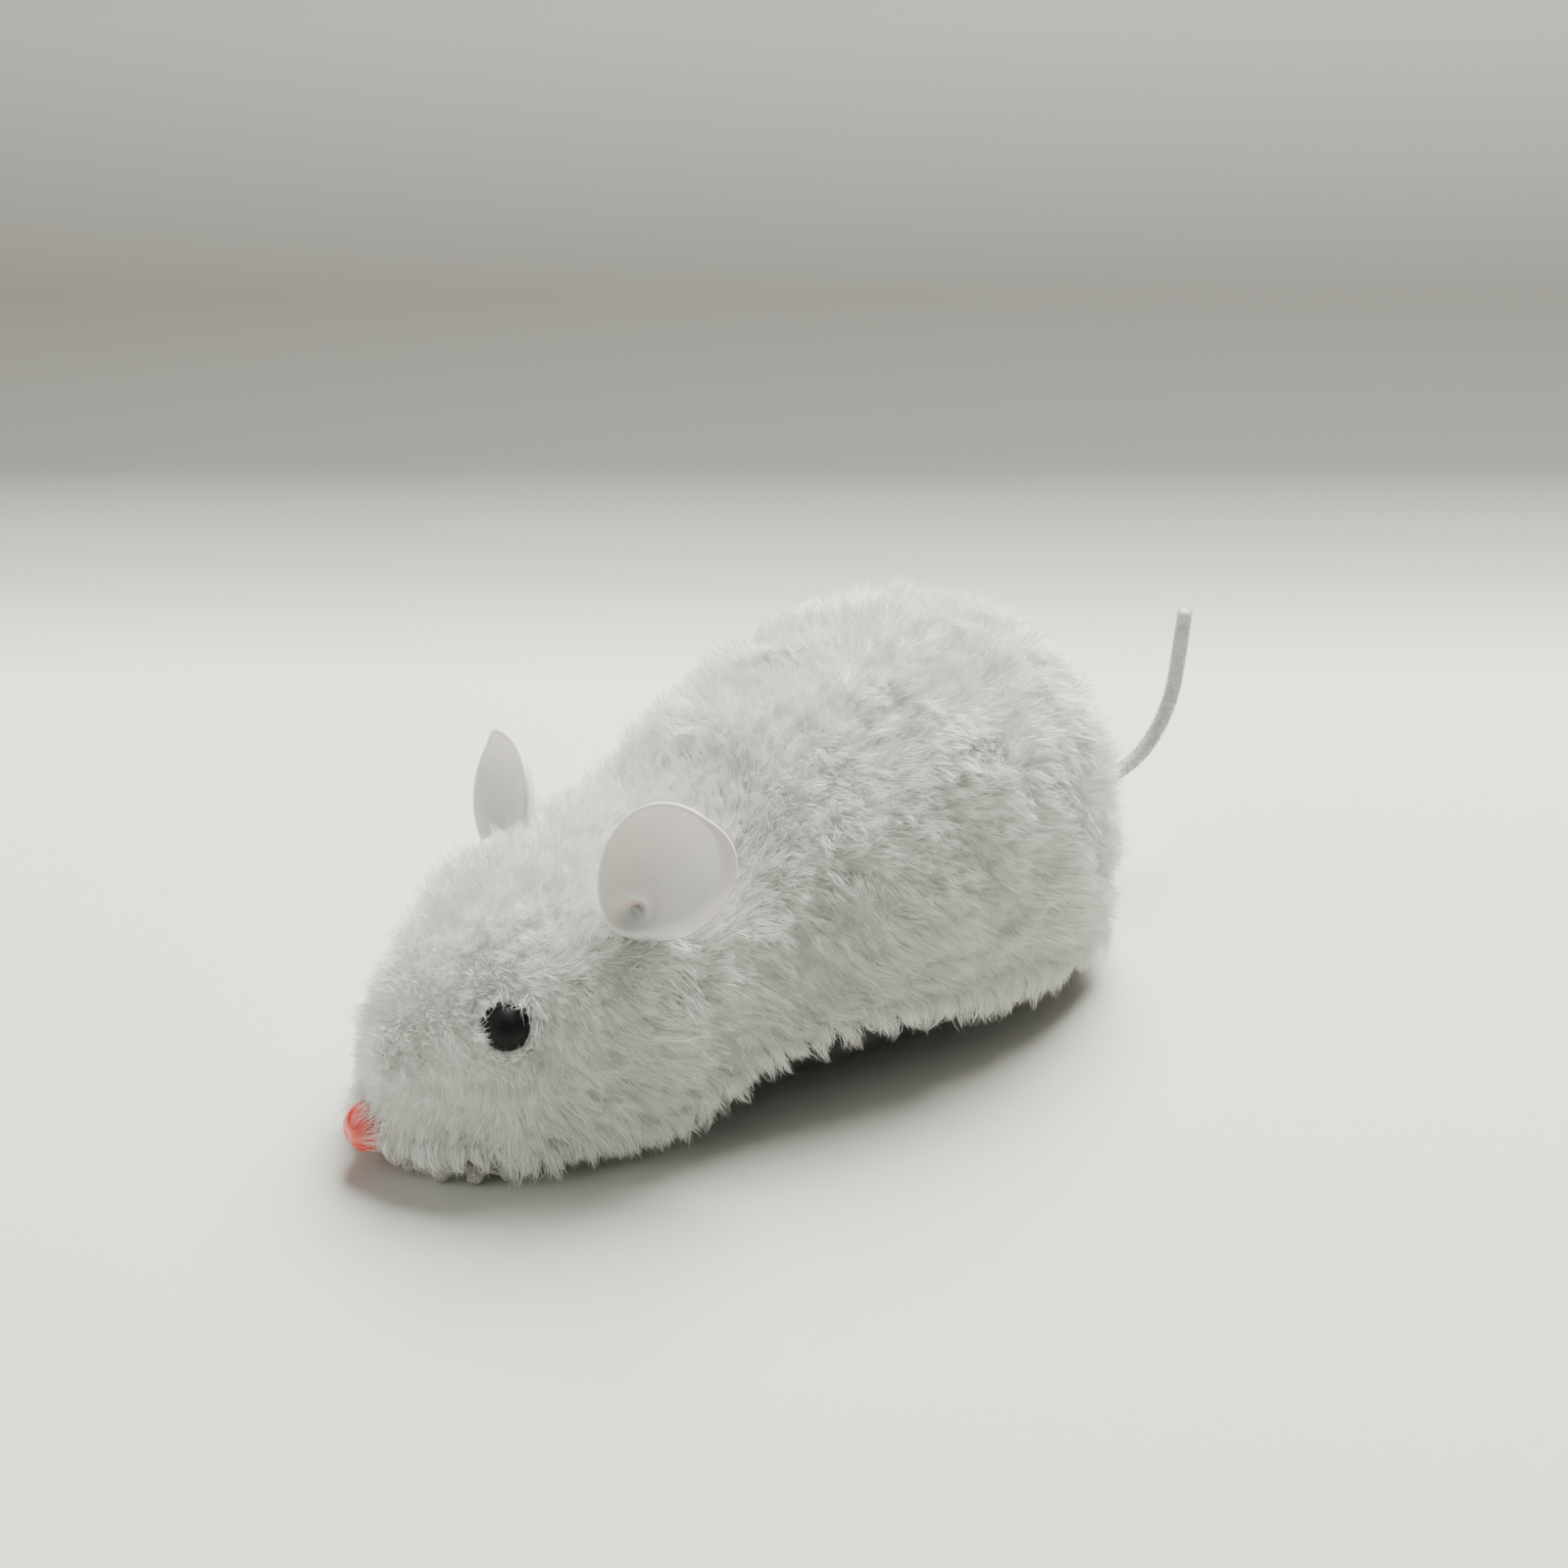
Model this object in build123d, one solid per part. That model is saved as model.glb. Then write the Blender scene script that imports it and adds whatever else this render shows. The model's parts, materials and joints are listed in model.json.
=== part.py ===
"""Clockwork plush mouse: plush cover on a plastic shell, with a spring motor and wheels.

Frame: the mouse faces -Y, its left side is +X, +Z is up. The origin is on the ground,
midway between its sides, under the middle of the body. Millimetres.
"""
import os
from math import atan2, cos, pi, radians, sin, sqrt, tan

from build123d import *

# ---------------------------------------------------------------- driving dimensions
# outside form of the plush at stations along Y: y, half width, top, bottom
STATIONS = [
    (-53.0, 3.0, 11.5, 3.0),
    (-51.0, 6.6, 16.8, 0.5),
    (-46.5, 11.0, 24.0, -1.0),
    (-39.0, 15.8, 30.3, -2.0),
    (-29.0, 19.6, 34.2, -2.0),
    (-18.0, 22.0, 35.6, -2.0),
    (-9.0, 22.8, 37.4, -2.0),
    (1.0, 24.2, 43.8, -2.0),
    (13.0, 26.0, 49.2, -2.0),
    (25.0, 26.5, 51.0, -2.0),
    (36.0, 25.5, 49.6, -2.0),
    (45.0, 22.4, 45.6, 0.0),
    (51.0, 17.0, 39.0, 3.0),
    (54.0, 10.0, 31.0, 8.0),
    (55.0, 4.0, 24.5, 14.0),
]
WIDEST = 26.5
HIGHEST = 51.0
REARMOST = 55.0
WAIST_SHARE = 0.36          # height of the widest line, as a share of the section's height
UPPER_POWER = 2.3           # superellipse powers of a section above and below that line
LOWER_POWER = 4.0
# lower edge of the plush seen from the side: y, z
HEM = [(-58.0, 4.4), (-50.0, 3.5), (-33.0, 3.2), (-21.0, 4.8), (-11.0, 9.6), (-2.0, 11.2), (8.0, 11.2),
       (20.0, 9.4), (34.0, 7.0), (58.0, 8.0)]

PLUSH_THICKNESS = 3.0
GLUE_GAP = 0.15
SHELL_THICKNESS = 1.2
SHELL_EDGE_Z = 4.5
PLATE_THICKNESS = 1.5
PLATE_GAP = 0.2
RUNNING_GAP = 0.05          # radial clearance of every running fit

# clockwork train
DRIVE_Y, DRIVE_Z = 18.0, 8.0
GREAT_TEETH, FIRST_PINION_TEETH, GREAT_MODULE = 36, 12, 0.6
FIRST_TEETH, SECOND_PINION_TEETH = 28, 10
SECOND_TEETH, DRIVE_PINION_TEETH = 20, 10
TRAIN_MODULE = 0.5
PRESSURE_ANGLE = 20.0
WHEEL_ADDENDUM = 0.65       # in modules; short on the wheels, so that small pinions don't undercut
PINION_ADDENDUM = 1.0
ROOT_CLEARANCE = 0.25
TOOTH_THINNING = 0.06       # mm off each tooth's thickness at the pitch circle
TO_SECOND_DEG = 130.0       # direction from the drive axle to the second gear, from +Y up to +Z
TO_FIRST_DEG = 50.0
TO_GREAT_DEG = -10.0
ARBOR_R = 0.8
SHAFT_R = 1.5
DRIVE_AXLE_R = 1.0

# layers of the motor along X: (lowest, highest)
PLATE_RIGHT_X = (-9.0, -7.8)
FIRST_WHEEL_X = (-7.2, -5.2)
GREAT_X = (-4.6, -2.0)
RATCHET_X = (-1.7, 0.1)
SECOND_WHEEL_X = (-1.4, 0.8)
SPRING_X = (1.0, 6.8)
PLATE_LEFT_X = (7.8, 9.0)

# road wheels
WHEEL_R = 8.0
TYRE_DEPTH = 1.6
WHEEL_X = (13.0, 17.5)
FRONT_WHEEL_Y, FRONT_WHEEL_R, FRONT_WHEEL_WIDTH = -30.0, 4.5, 5.0
FRONT_AXLE_R = 0.8

# outside pieces
EYE_R = 3.0
EYES = {"left": (-38.6, 20.7), "right": (-35.5, 18.2)}     # y, z; set a little unevenly
NOSE_Y, NOSE_Z, NOSE_R = -52.6, 5.4, 2.9
EAR_RIM_R, EAR_SPHERE_R, EAR_THICKNESS = 8.9, 11.0, 0.9
EARS = {
    # side: (centre of the rim, way the cup faces, outward lean in degrees)
    "left": ((17.6, -21.4, 38.4), (0.52, -0.80, 0.22), -24.0),
    "right": ((-18.0, -23.0, 32.5), (-0.14, -0.93, 0.26), 12.0),
}
TAIL_R = 1.0
TAIL_POINTS = [(0, 47.6, 13.3), (0, 74.0, 14.9), (0, 76.4, 36.8)]
TAIL_BEND_R = 9.0
TAIL_KNOT_R = 2.1
# blobs of hot glue hanging from the hem under the chin: x, y, radius
GLUE_BEADS = [(5.0, -49.6, 1.1), (8.2, -47.2, 1.3), (11.2, -44.2, 1.25), (13.4, -41.0, 1.0)]
GLUE_TOP_Z = 2.7
KEY_HUB_X = (-31.0, -26.8)
KEY_TAB_X = (-37.5, -30.0)
KEY_BORE_X = -29.8


# ---------------------------------------------------------------- helpers
def save(shape, node):
    solids = shape.solids()
    export_step(solids[0] if len(solids) == 1 else Compound(children=solids), f"parts/{node}.step")


def section(half_width, top, bottom, y):
    """One closed outline of the body, as a smooth superellipse standing across Y."""
    waist = bottom + (top - bottom) * WAIST_SHARE
    points = []
    for step in range(20):
        angle = 2 * pi * step / 20
        c, s = cos(angle), sin(angle)
        power = UPPER_POWER if s >= 0 else LOWER_POWER
        height = top - waist if s >= 0 else waist - bottom
        x = half_width * abs(c) ** (2 / power) * (1 if c >= 0 else -1)
        z = waist + height * abs(s) ** (2 / power) * (1 if s >= 0 else -1)
        points.append((x, y, z))
    return Wire([Edge.make_spline([Vector(*p) for p in points], periodic=True)])


def body_form(inset):
    """The body's form, made smaller by inset at its widest, highest and rearmost points."""
    kx = (WIDEST - inset) / WIDEST
    ky = (REARMOST - inset) / REARMOST
    kz = (HIGHEST - inset) / HIGHEST
    return Solid.make_loft([section(w * kx, top * kz, low, y * ky) for y, w, top, low in STATIONS])


def slab(z_low, z_high):
    return Pos(0, 0, (z_low + z_high) / 2) * Box(200, 200, z_high - z_low)


def block(x, y, z):
    """A box from three (low, high) pairs."""
    centre = [(pair[0] + pair[1]) / 2 for pair in (x, y, z)]
    return Pos(*centre) * Box(x[1] - x[0], y[1] - y[0], z[1] - z[0])


def across(y, z, x):
    """The plane across X through (y, z), from which a piece is drawn from x[0] to x[1]."""
    return Plane((x[0], y, z), x_dir=(0, 1, 0), z_dir=(1, 0, 0))


def rod(radius, y, z, x):
    """A round bar along X."""
    return extrude(across(y, z, x) * Circle(radius), x[1] - x[0])


def upright(radius, x, y, z):
    """A round bar along Z."""
    return extrude(Plane((x, y, z[0])) * Circle(radius), z[1] - z[0])


def surface_hit(form, y, z, side):
    """Where a line along X at (y, z) leaves the form on that side, and the outward normal."""
    hits = form.shells()[0].find_intersection_points(Axis((0, y, z), (side, 0, 0)))
    hits = [h for h in hits if h[0].X * side > 0]
    point, normal = max(hits, key=lambda h: h[0].X * side)
    if normal.X * side < 0:
        normal = -normal
    return point, normal


# ---------------------------------------------------------------- gears
def tooth_flank(pitch_r, tip_r, root_r, half_thickness_angle):
    """Half of a tooth's outline from root to tip, as (radius, angle from the tooth's centre)."""
    alpha = radians(PRESSURE_ANGLE)
    base_r = pitch_r * cos(alpha)
    start_r = max(base_r, root_r)
    flank = []
    for step in range(4):
        r = start_r + (tip_r - start_r) * step / 3
        t = sqrt(max(r * r / base_r / base_r - 1, 0))
        involute = t - atan2(t, 1)
        flank.append((r, half_thickness_angle + tan(alpha) - alpha - involute))
    if root_r < base_r:
        flank.insert(0, (root_r, flank[0][1]))
    return flank


def toothed_disc(teeth, module, addendum, mating_addendum, phase):
    """A spur gear's outline, with a tooth centred at the angle phase, in radians."""
    pitch_r = teeth * module / 2
    tip_r = pitch_r + addendum * module
    root_r = pitch_r - (mating_addendum + ROOT_CLEARANCE) * module
    half_angle = (pi * module / 2 - TOOTH_THINNING) / 2 / pitch_r
    flank = tooth_flank(pitch_r, tip_r, root_r, half_angle)
    points = []
    for tooth in range(teeth):
        centre = phase + 2 * pi * tooth / teeth
        for r, a in flank:
            points.append((r * cos(centre - a), r * sin(centre - a)))
        for r, a in reversed(flank):
            points.append((r * cos(centre + a), r * sin(centre + a)))
    return make_face(Polyline(*points, close=True))


def gear_wheel(teeth, module, phase):
    return toothed_disc(teeth, module, WHEEL_ADDENDUM, PINION_ADDENDUM, phase)


def gear_pinion(teeth, module, phase):
    """A pinion with a gap centred at the angle phase."""
    return toothed_disc(teeth, module, PINION_ADDENDUM, WHEEL_ADDENDUM, phase + pi / teeth)


def step_from(y, z, distance, angle_deg):
    a = radians(angle_deg)
    return y + distance * cos(a), z + distance * sin(a)


SECOND_Y, SECOND_Z = step_from(
    DRIVE_Y, DRIVE_Z, (SECOND_TEETH + DRIVE_PINION_TEETH) * TRAIN_MODULE / 2, TO_SECOND_DEG)
FIRST_Y, FIRST_Z = step_from(
    SECOND_Y, SECOND_Z, (FIRST_TEETH + SECOND_PINION_TEETH) * TRAIN_MODULE / 2, TO_FIRST_DEG)
GREAT_Y, GREAT_Z = step_from(
    FIRST_Y, FIRST_Z, (GREAT_TEETH + FIRST_PINION_TEETH) * GREAT_MODULE / 2, TO_GREAT_DEG)


def make_great_gear():
    """The great gear, with two moulded click arms that reach round the ratchet wheel."""
    plane = across(GREAT_Y, GREAT_Z, GREAT_X)
    toward_first = radians(TO_GREAT_DEG) - pi
    gear = extrude(plane * gear_wheel(GREAT_TEETH, GREAT_MODULE, toward_first), GREAT_X[1] - GREAT_X[0])
    for turn in range(5):
        hole = Rot(0, 0, 72 * turn) * Pos(6.0, 0) * Circle(1.7)
        gear -= extrude(plane * hole, GREAT_X[1] - GREAT_X[0])
    gear -= rod(SHAFT_R + RUNNING_GAP, GREAT_Y, GREAT_Z, GREAT_X)
    face = across(GREAT_Y, GREAT_Z, GREAT_X)
    lift = GREAT_X[1] - GREAT_X[0]
    height = RATCHET_X[1] - GREAT_X[1]
    for turn in (0, 180):
        foot = Rot(0, 0, turn + 36) * Pos(8.6, 0) * Circle(0.9)
        arm = Rot(0, 0, turn + 36) * SlotArc(CenterArc((0, 0), 8.6, 0, 70), 0.9)
        nib = Rot(0, 0, turn + 36) * make_face(Polyline(
            (8.6 * cos(radians(66)), 8.6 * sin(radians(66))),
            (5.0 * cos(radians(78)), 5.0 * sin(radians(78))),
            (8.6 * cos(radians(72)), 8.6 * sin(radians(72))),
            close=True))
        gear += extrude(face.offset(lift - 0.4) * foot, height + 0.4)
        gear += extrude(face.offset(lift + 0.2) * (arm + nib), height - 0.2)
    return gear


def make_ratchet():
    """Twelve-toothed saw ratchet, fixed on the winding shaft."""
    tip_r, root_r = 4.7, 3.7
    points = []
    for tooth in range(12):
        start = 2 * pi * tooth / 12
        points.append((root_r * cos(start), root_r * sin(start)))
        points.append((tip_r * cos(start), tip_r * sin(start)))
    outline = make_face(Polyline(*points, close=True)) - Circle(SHAFT_R)
    return extrude(across(GREAT_Y, GREAT_Z, RATCHET_X) * outline, RATCHET_X[1] - RATCHET_X[0])


def make_first_gear():
    """First compound gear: its pinion meshes with the great gear, its wheel with the second pinion."""
    back_to_great = radians(TO_GREAT_DEG)
    toward_second = radians(TO_FIRST_DEG) - pi
    pinion = gear_pinion(FIRST_PINION_TEETH, GREAT_MODULE, back_to_great)
    wheel = gear_wheel(FIRST_TEETH, TRAIN_MODULE, toward_second)
    span = (FIRST_WHEEL_X[0], GREAT_X[1])
    gear = extrude(across(FIRST_Y, FIRST_Z, GREAT_X) * pinion, GREAT_X[1] - GREAT_X[0])
    gear += extrude(across(FIRST_Y, FIRST_Z, FIRST_WHEEL_X) * wheel, FIRST_WHEEL_X[1] - FIRST_WHEEL_X[0])
    gear += rod(2.6, FIRST_Y, FIRST_Z, span)
    return gear - rod(ARBOR_R + RUNNING_GAP, FIRST_Y, FIRST_Z, span)


def make_second_gear():
    """Second compound gear: its pinion meshes with the first wheel, its wheel with the drive pinion."""
    back_to_first = radians(TO_FIRST_DEG)
    toward_drive = radians(TO_SECOND_DEG) - pi
    pinion = gear_pinion(SECOND_PINION_TEETH, TRAIN_MODULE, back_to_first)
    wheel = gear_wheel(SECOND_TEETH, TRAIN_MODULE, toward_drive)
    span = (FIRST_WHEEL_X[0], SECOND_WHEEL_X[1])
    gear = extrude(across(SECOND_Y, SECOND_Z, FIRST_WHEEL_X) * pinion, FIRST_WHEEL_X[1] - FIRST_WHEEL_X[0])
    gear += extrude(across(SECOND_Y, SECOND_Z, SECOND_WHEEL_X) * wheel, SECOND_WHEEL_X[1] - SECOND_WHEEL_X[0])
    gear += rod(1.8, SECOND_Y, SECOND_Z, span)
    return gear - rod(ARBOR_R + RUNNING_GAP, SECOND_Y, SECOND_Z, span)


def make_drive_pinion():
    pinion = gear_pinion(DRIVE_PINION_TEETH, TRAIN_MODULE, radians(TO_SECOND_DEG)) - Circle(DRIVE_AXLE_R)
    return extrude(across(DRIVE_Y, DRIVE_Z, SECOND_WHEEL_X) * pinion, SECOND_WHEEL_X[1] - SECOND_WHEEL_X[0])


def make_mainspring():
    """A flat strip wound in a spiral from the winding shaft out to a pillar."""
    turns, inner_r, outer_r, strip = 6.5, SHAFT_R + 0.35, 10.0, 0.35
    steps = int(turns * 16)
    centre_line = []
    for i in range(steps + 1):
        a = 2 * pi * turns * i / steps
        r = inner_r + (outer_r - inner_r) * i / steps
        centre_line.append((r, a))
    outer = [((r + strip / 2) * cos(a), (r + strip / 2) * sin(a)) for r, a in centre_line]
    inner = [((r - strip / 2) * cos(a), (r - strip / 2) * sin(a)) for r, a in reversed(centre_line)]
    outline = Spline(*outer) + Line(outer[-1], inner[0]) + Spline(*inner) + Line(inner[-1], outer[0])
    return extrude(across(GREAT_Y, GREAT_Z, SPRING_X) * make_face(outline), SPRING_X[1] - SPRING_X[0])


# ---------------------------------------------------------------- motor frame
PILLARS = [(44.6, 8.6), (7.8, 8.6), (13.4, 28.0), (42.2, 28.0)]
PILLAR_R = 1.0
FEET_Y = (6.0, 44.0)
PLATE_OUTLINE = [(3.0, 6.1), (47.0, 6.1), (47.0, 24.0), (42.5, 30.3), (11.0, 30.3), (6.0, 14.0), (3.0, 9.0)]


def make_frame_plate(x, side):
    """One side plate of the motor, with bearing holes and two screw feet turned outwards."""
    plate = extrude(Plane((x[0], 0, 0), x_dir=(0, 1, 0), z_dir=(1, 0, 0))
                    * make_face(Polyline(*PLATE_OUTLINE, close=True)), x[1] - x[0])
    outer = x[1] if side > 0 else x[0]
    for y in FEET_Y:
        foot_x = sorted((outer, outer + side * 3.4))
        plate += block(foot_x, (y - 2.5, y + 2.5), (6.1, 7.1))
        plate -= upright(0.9, outer + side * 1.8, y, (5.0, 8.0))
    for y, z in PILLARS:
        plate -= rod(PILLAR_R * 0.7, y, z, x)
    for y, z in ((FIRST_Y, FIRST_Z), (SECOND_Y, SECOND_Z)):
        plate -= rod(ARBOR_R, y, z, x)
    plate -= rod(SHAFT_R + RUNNING_GAP, GREAT_Y, GREAT_Z, x)
    plate -= rod(DRIVE_AXLE_R + RUNNING_GAP, DRIVE_Y, DRIVE_Z, x)
    return plate


def make_pillars():
    """Four shouldered pillars, riveted into the side plates."""
    pillars = Part()
    for y, z in PILLARS:
        pillars += rod(PILLAR_R, y, z, (PLATE_RIGHT_X[1], PLATE_LEFT_X[0]))
        pillars += rod(PILLAR_R * 0.7, y, z, (PLATE_RIGHT_X[0], PLATE_LEFT_X[1]))
    return pillars


# ---------------------------------------------------------------- wheels
def make_rim(side):
    """Plastic wheel with a dished face and five openings, pressed on the drive axle."""
    x = sorted((side * WHEEL_X[0], side * WHEEL_X[1]))
    rim_r = WHEEL_R - TYRE_DEPTH
    wheel = rod(rim_r, DRIVE_Y, DRIVE_Z, x)
    dish_x = sorted((side * (WHEEL_X[0] + 2.0), side * WHEEL_X[1]))
    wheel -= rod(rim_r - 1.0, DRIVE_Y, DRIVE_Z, dish_x) - rod(2.0, DRIVE_Y, DRIVE_Z, dish_x)
    for turn in range(5):
        y, z = step_from(DRIVE_Y, DRIVE_Z, 3.7, 90 + 72 * turn)
        wheel -= rod(0.9, y, z, x)
    return wheel - rod(DRIVE_AXLE_R, DRIVE_Y, DRIVE_Z, x)


def make_tyre(side):
    """Rubber ring with a crowned tread, cut across by fine grooves."""
    low, high = sorted((side * WHEEL_X[0], side * WHEEL_X[1]))
    middle = (low + high) / 2
    rim_r = WHEEL_R - TYRE_DEPTH
    crown = ThreePointArc((low, WHEEL_R - 0.4), (middle, WHEEL_R), (high, WHEEL_R - 0.4))
    sides = Polyline((high, WHEEL_R - 0.4), (high, rim_r), (low, rim_r), (low, WHEEL_R - 0.4))
    profile = Plane((0, DRIVE_Y, DRIVE_Z), x_dir=(1, 0, 0), z_dir=(0, -1, 0)) * make_face(crown + sides)
    tyre = revolve(profile, Axis((0, DRIVE_Y, DRIVE_Z), (1, 0, 0)), 360)
    for turn in range(18):
        angle = 360 * (turn + 0.5) / 18 - 90
        groove = Pos(WHEEL_R, 0) * Rectangle(0.7, 0.5)
        tyre -= extrude(across(DRIVE_Y, DRIVE_Z, (low, high)) * Rot(0, 0, angle) * groove, high - low)
    return tyre


def make_front_wheel():
    half = FRONT_WHEEL_WIDTH / 2
    wheel = rod(FRONT_WHEEL_R, FRONT_WHEEL_Y, FRONT_WHEEL_R, (-half, half))
    wheel = fillet(wheel.edges().filter_by(GeomType.CIRCLE), 0.5)
    return wheel - rod(FRONT_AXLE_R + RUNNING_GAP, FRONT_WHEEL_Y, FRONT_WHEEL_R, (-half, half))


# ---------------------------------------------------------------- shell, plate and plush
BASE_SCREWS = [(0.0, -42.5), (14.0, -14.5), (-14.0, -14.5), (16.0, 34.0), (-16.0, 34.0)]
SCREW_R = 0.95
BOSS_R = 2.6
PLATE_TOP_Z = SHELL_EDGE_Z + PLATE_THICKNESS
FRONT_LUG_X = (3.4, 5.4)


def make_base_plate(shell_inside):
    plate = shell_inside & slab(SHELL_EDGE_Z, PLATE_TOP_Z)
    for side in (-1, 1):
        wheel_x = sorted((side * (WHEEL_X[0] - 1.2), side * (WHEEL_X[1] + 0.9)))
        plate -= block(wheel_x, (DRIVE_Y - WHEEL_R - 1.0, DRIVE_Y + WHEEL_R + 1.0), (0, 10))
    front_y = (FRONT_WHEEL_Y - FRONT_WHEEL_R - 0.8, FRONT_WHEEL_Y + FRONT_WHEEL_R + 0.8)
    slot_half = FRONT_WHEEL_WIDTH / 2 + 0.6
    pinion_x = (SECOND_WHEEL_X[0] - 0.8, SECOND_WHEEL_X[1] + 0.8)
    plate -= block(pinion_x, (DRIVE_Y - 3.8, DRIVE_Y + 3.8), (0, 10))
    for side in (-1, 1):
        lug_x = sorted((side * FRONT_LUG_X[0], side * FRONT_LUG_X[1]))
        plate += block(lug_x, (FRONT_WHEEL_Y - 2.2, FRONT_WHEEL_Y + 2.2), (2.9, PLATE_TOP_Z))
    plate -= block((-slot_half, slot_half), front_y, (0, 10))
    plate -= rod(FRONT_AXLE_R, FRONT_WHEEL_Y, FRONT_WHEEL_R, (-FRONT_LUG_X[1], FRONT_LUG_X[1]))
    for x, y in BASE_SCREWS:
        plate -= upright(SCREW_R + 0.15, x, y, (0, 10))
        plate -= upright(2.3, x, y, (SHELL_EDGE_Z - 1, SHELL_EDGE_Z + 0.9))
    for side in (-1, 1):
        for y in FEET_Y:
            plate -= upright(0.8, side * 10.8, y, (0, 10))
    return plate


def make_shell(shell_outside, shell_inside, holes):
    """Hard shell under the plush, open below, with screw bosses hanging from its roof."""
    shell = shell_outside - shell_inside
    for x, y in BASE_SCREWS:
        boss = upright(BOSS_R, x, y, (PLATE_TOP_Z, HIGHEST)) & shell_inside
        shell += boss
        shell -= upright(SCREW_R, x, y, (PLATE_TOP_Z, PLATE_TOP_Z + 6.0))
    shell -= slab(-10, SHELL_EDGE_Z)
    for hole in holes:
        shell -= hole
    return shell


def below_hem():
    """Everything lower than the plush's hem line."""
    line = Spline(*HEM)
    start, end = HEM[0], HEM[-1]
    floor = Polyline(end, (end[0], -20.0), (start[0], -20.0), start)
    face = Plane((-40, 0, 0), x_dir=(0, 1, 0), z_dir=(1, 0, 0)) * make_face(line + floor)
    return extrude(face, 80)


def make_plush(outside, shell_outside, holes):
    plush = outside - shell_outside - below_hem()
    for hole in holes:
        plush -= hole
    return max(plush.solids(), key=lambda s: s.volume)


# ---------------------------------------------------------------- face, ears and tail
def make_eye(place):
    """A glossy dome with a flat back and a shank, in the plane whose normal looks out."""
    dome = place * (Sphere(EYE_R) & Pos(0, 0, 5) * Box(20, 20, 10))
    return dome + place * (Pos(0, 0, -2.6) * Cylinder(1.0, 5.4))


def make_washer(place):
    return place * (Pos(0, 0, -4.7) * (Cylinder(3.0, 0.7) - Cylinder(1.0, 0.7)))


def ear_plane(side):
    """The rim's plane: its normal is the way the cup faces, its Y the way the ear stands."""
    centre, facing, lean = EARS[side]
    facing = Vector(*facing).normalized()
    up = (Vector(0, 0, 1) - facing * facing.Z).normalized()
    up = up.rotate(Axis((0, 0, 0), facing), lean)
    return Plane(centre, x_dir=up.cross(facing), z_dir=facing)


def make_ear(side, shell_outside):
    """A round cup cut from a hollow ball, with a tab that goes through the plush to the shell."""
    plane = ear_plane(side)
    sink = sqrt(EAR_SPHERE_R ** 2 - EAR_RIM_R ** 2)
    ball = Pos(0, 0, sink) * (Sphere(EAR_SPHERE_R) - Sphere(EAR_SPHERE_R - EAR_THICKNESS))
    cup = ball & Pos(0, 0, -10) * Box(40, 40, 20)
    tab_depth = EAR_SPHERE_R - sink
    tab = Pos(0, -EAR_RIM_R - 1.0, -tab_depth * 0.35) * Box(6.0, 8.0, 1.4)
    tab -= Pos(0, 0, sink) * Sphere(EAR_SPHERE_R - EAR_THICKNESS / 2)
    ear = plane * (cup + tab)
    return max((ear - shell_outside).solids(), key=lambda s: s.volume)


def tail_path():
    return FilletPolyline(*TAIL_POINTS, radius=TAIL_BEND_R)


def make_tail():
    """A flocked cord formed upwards, with the knot that holds it inside the shell."""
    path = tail_path()
    start = Plane(path @ 0, z_dir=path % 0)
    tail = sweep(start * Circle(TAIL_R), path=path)
    return tail + Pos(*TAIL_POINTS[0]) * Sphere(TAIL_KNOT_R)


def make_nose():
    bead = Pos(0, NOSE_Y, NOSE_Z) * Sphere(NOSE_R)
    stem = Pos(0, NOSE_Y + 2.1, NOSE_Z) * Rot(90, 0, 0) * Cylinder(0.8, 3.2)
    return bead + stem


def make_key():
    """Plastic winding knob: a round hub on the shaft and a flat oval grip."""
    hub = rod(3.4, GREAT_Y, GREAT_Z, KEY_HUB_X)
    grip = extrude(Plane((0, GREAT_Y, GREAT_Z), x_dir=(1, 0, 0), z_dir=(0, -1, 0))
                   * Pos((KEY_TAB_X[0] + KEY_TAB_X[1]) / 2, 0)
                   * RectangleRounded(KEY_TAB_X[1] - KEY_TAB_X[0], 11.5, 3.6), 1.2, both=True)
    key = hub + grip
    return key - rod(SHAFT_R, GREAT_Y, GREAT_Z, (KEY_BORE_X, KEY_HUB_X[1]))


def make_screw(x, y, head_z, shank_top, head_r, shank_r, head_height, points_up):
    """A pan head screw with a cross slot; head_z is the head's free face."""
    if points_up:
        head = upright(head_r, x, y, (head_z, head_z + head_height))
        shank = upright(shank_r, x, y, (head_z + head_height, shank_top))
        slot_z = (head_z, head_z + head_height * 0.5)
    else:
        head = upright(head_r, x, y, (head_z - head_height, head_z))
        shank = upright(shank_r, x, y, (shank_top, head_z - head_height))
        slot_z = (head_z - head_height * 0.5, head_z)
    screw = head + shank
    for turn in (0, 90):
        arm = (head_r * 0.6, 0.2) if turn else (0.2, head_r * 0.6)
        screw -= block((x - arm[0], x + arm[0]), (y - arm[1], y + arm[1]), slot_z)
    return screw


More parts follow.
